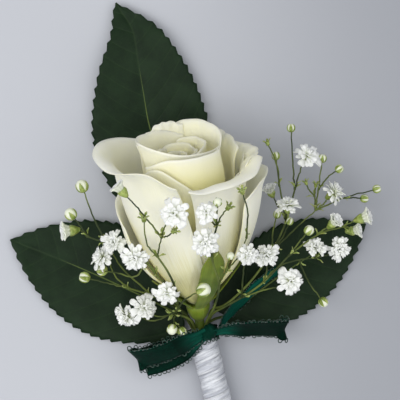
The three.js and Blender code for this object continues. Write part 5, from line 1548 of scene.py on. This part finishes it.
def ribbon_skin():
    """Woven dark green ribbon with a darker hem, and a painted highlight in teal where it catches the light.
    """
    skin = Skin("ribbon", IOR=1.1, Sheen_Weight=0.01, Sheen_Roughness=0.3, Sheen_Tint=(0.1, 0.6, 0.4, 1))
    across, along, side = skin.place()
    # The fraction of the third place value is the share of painted highlight in teal.
    bright = side.math("FRACT")
    weft = skin.threads("Y", skin.vector(across, along, 0), 1.1, 0.3)
    warp = skin.threads("X", skin.vector(across, along, 0), 0.9, 0.2)
    cloud = skin.noise(skin.vector(across * 0.5, along * 0.2, 0), 0.9, 3, 0.6)
    hem = across.math("ABSOLUTE").rise(3.3, 3.6)
    base = skin.paint(
        skin.mix(cloud.rise(0.3, 0.7), colour(2, 17, 12), colour(4, 30, 21)),
        (weft * 0.2, colour(8, 44, 31)),
        (bright, skin.mix(cloud.rise(0.3, 0.7), colour(10, 82, 66), colour(22, 104, 88))),
        (hem * 0.5, colour(2, 14, 10)),
    )
    fine = skin.bump(weft, 0.3, 0.0001)
    return skin.finish(base, 0.36 + cloud * 0.2, skin.bump(warp + hem * 1.5, 0.3, 0.0001, fine))


def thread_skin():
    skin = Skin("picot thread", IOR=1.45, Sheen_Weight=0.3, Sheen_Roughness=0.4)
    grain = skin.grain(2200)
    base = skin.mix(grain.rise(0.35, 0.7), colour(5, 26, 19), colour(30, 70, 56))
    return skin.finish(base, 0.3 + grain * 0.2, skin.bump(grain, 0.3, 0.00008))


def floor_skin():
    """Pale matt grey with painted shade that darkens it to the right, where the light falls off."""
    skin = Skin("floor", IOR=1.3)
    cloud = skin.grain(6)
    across = skin.apart(skin.object_point())[0]
    # The darker grey on the right is painted shade.
    fade = (across * 8 + cloud * 0.4).rise(-0.1, 0.75)
    return skin.finish(skin.mix(fade, colour(186, 189, 197), colour(154, 157, 165)), 0.8 + cloud * 0.1)


# Floor and light

FLOOR_HALF = 1.2
FLOOR_DROP = 0.0001
LAMPS = {  # place, size, power, tint
    "window": ((-0.38, -0.05, 0.6), 0.5, 2.3, (1, 0.985, 0.96)),
    "ceiling": ((0.24, -0.16, 0.8), 1.1, 4.75, (1, 0.995, 0.97)),
}
ROOM_TINT = (0.98, 0.99, 1, 1)
ROOM_STRENGTH = 0.46


def floor(skin):
    mesh = bpy.data.meshes.new("floor")
    corners = [(x * FLOOR_HALF, y * FLOOR_HALF, -FLOOR_DROP) for x, y in ((-1, -1), (1, -1), (1, 1), (-1, 1))]
    mesh.from_pydata(corners, [], [(0, 1, 2, 3)])
    mesh.materials.append(skin)
    put("floor", mesh)


def light_the_table():
    for name, (place, size, power, tint) in LAMPS.items():
        lamp = bpy.data.lights.new(name, "AREA")
        lamp.size = size
        lamp.energy = power
        lamp.color = tint
        thing = put(name, lamp)
        thing.location = place
        thing.rotation_euler = (-Vector(place)).to_track_quat("-Z", "Y").to_euler()
    world = bpy.data.worlds.new("room")
    bpy.context.scene.world = world
    world.use_nodes = True
    background = world.node_tree.nodes["Background"]
    background.inputs["Color"].default_value = ROOM_TINT
    background.inputs["Strength"].default_value = ROOM_STRENGTH
    bpy.context.scene.view_settings.view_transform = "Standard"


# The whole flower

floor(floor_skin())
light_the_table()

green_stem = stalk_skin("green stem", colour(58, 76, 28), colour(98, 116, 48))
rose_stem = stalk_skin("rose stem", colour(70, 92, 30), colour(112, 132, 52))
leaf_surface = leaf_skin()


def dress(piece, node):
    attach(piece, BODY)
    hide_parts(node)


dress(rose_petals(petal_skin()), "rose_petals")
dress(rose_calyx(calyx_skin(), rose_stem), "rose_sepals_and_stem")
for seed, node in enumerate(LEAVES):
    dress(leaf(node, leaf_surface, green_stem, seed * 11 + 3), node)

ends = [pattern_piece(name.replace(" ", "_"), shape) for name, shape in PATTERNS.items()]
sprigs = sprig_tree(ends, floret_skin(), cup_skin(), twig_skin())
for seed, node in enumerate(SPRIGS):
    dress(sprig(node, sprigs, seed * 7 + 2), node)
for end in ends:
    bpy.data.objects.remove(end)

dress(satin_wrap(satin_skin()), "stem_wrap")

loop = pattern_piece("picot", picot())
picots = ribbon_picots(picot_tree(loop, thread_skin()))
bpy.data.objects.remove(loop)
bow = ribbon(ribbon_skin())
dress(bow, "ribbon_bow")
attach(picots, BODY)
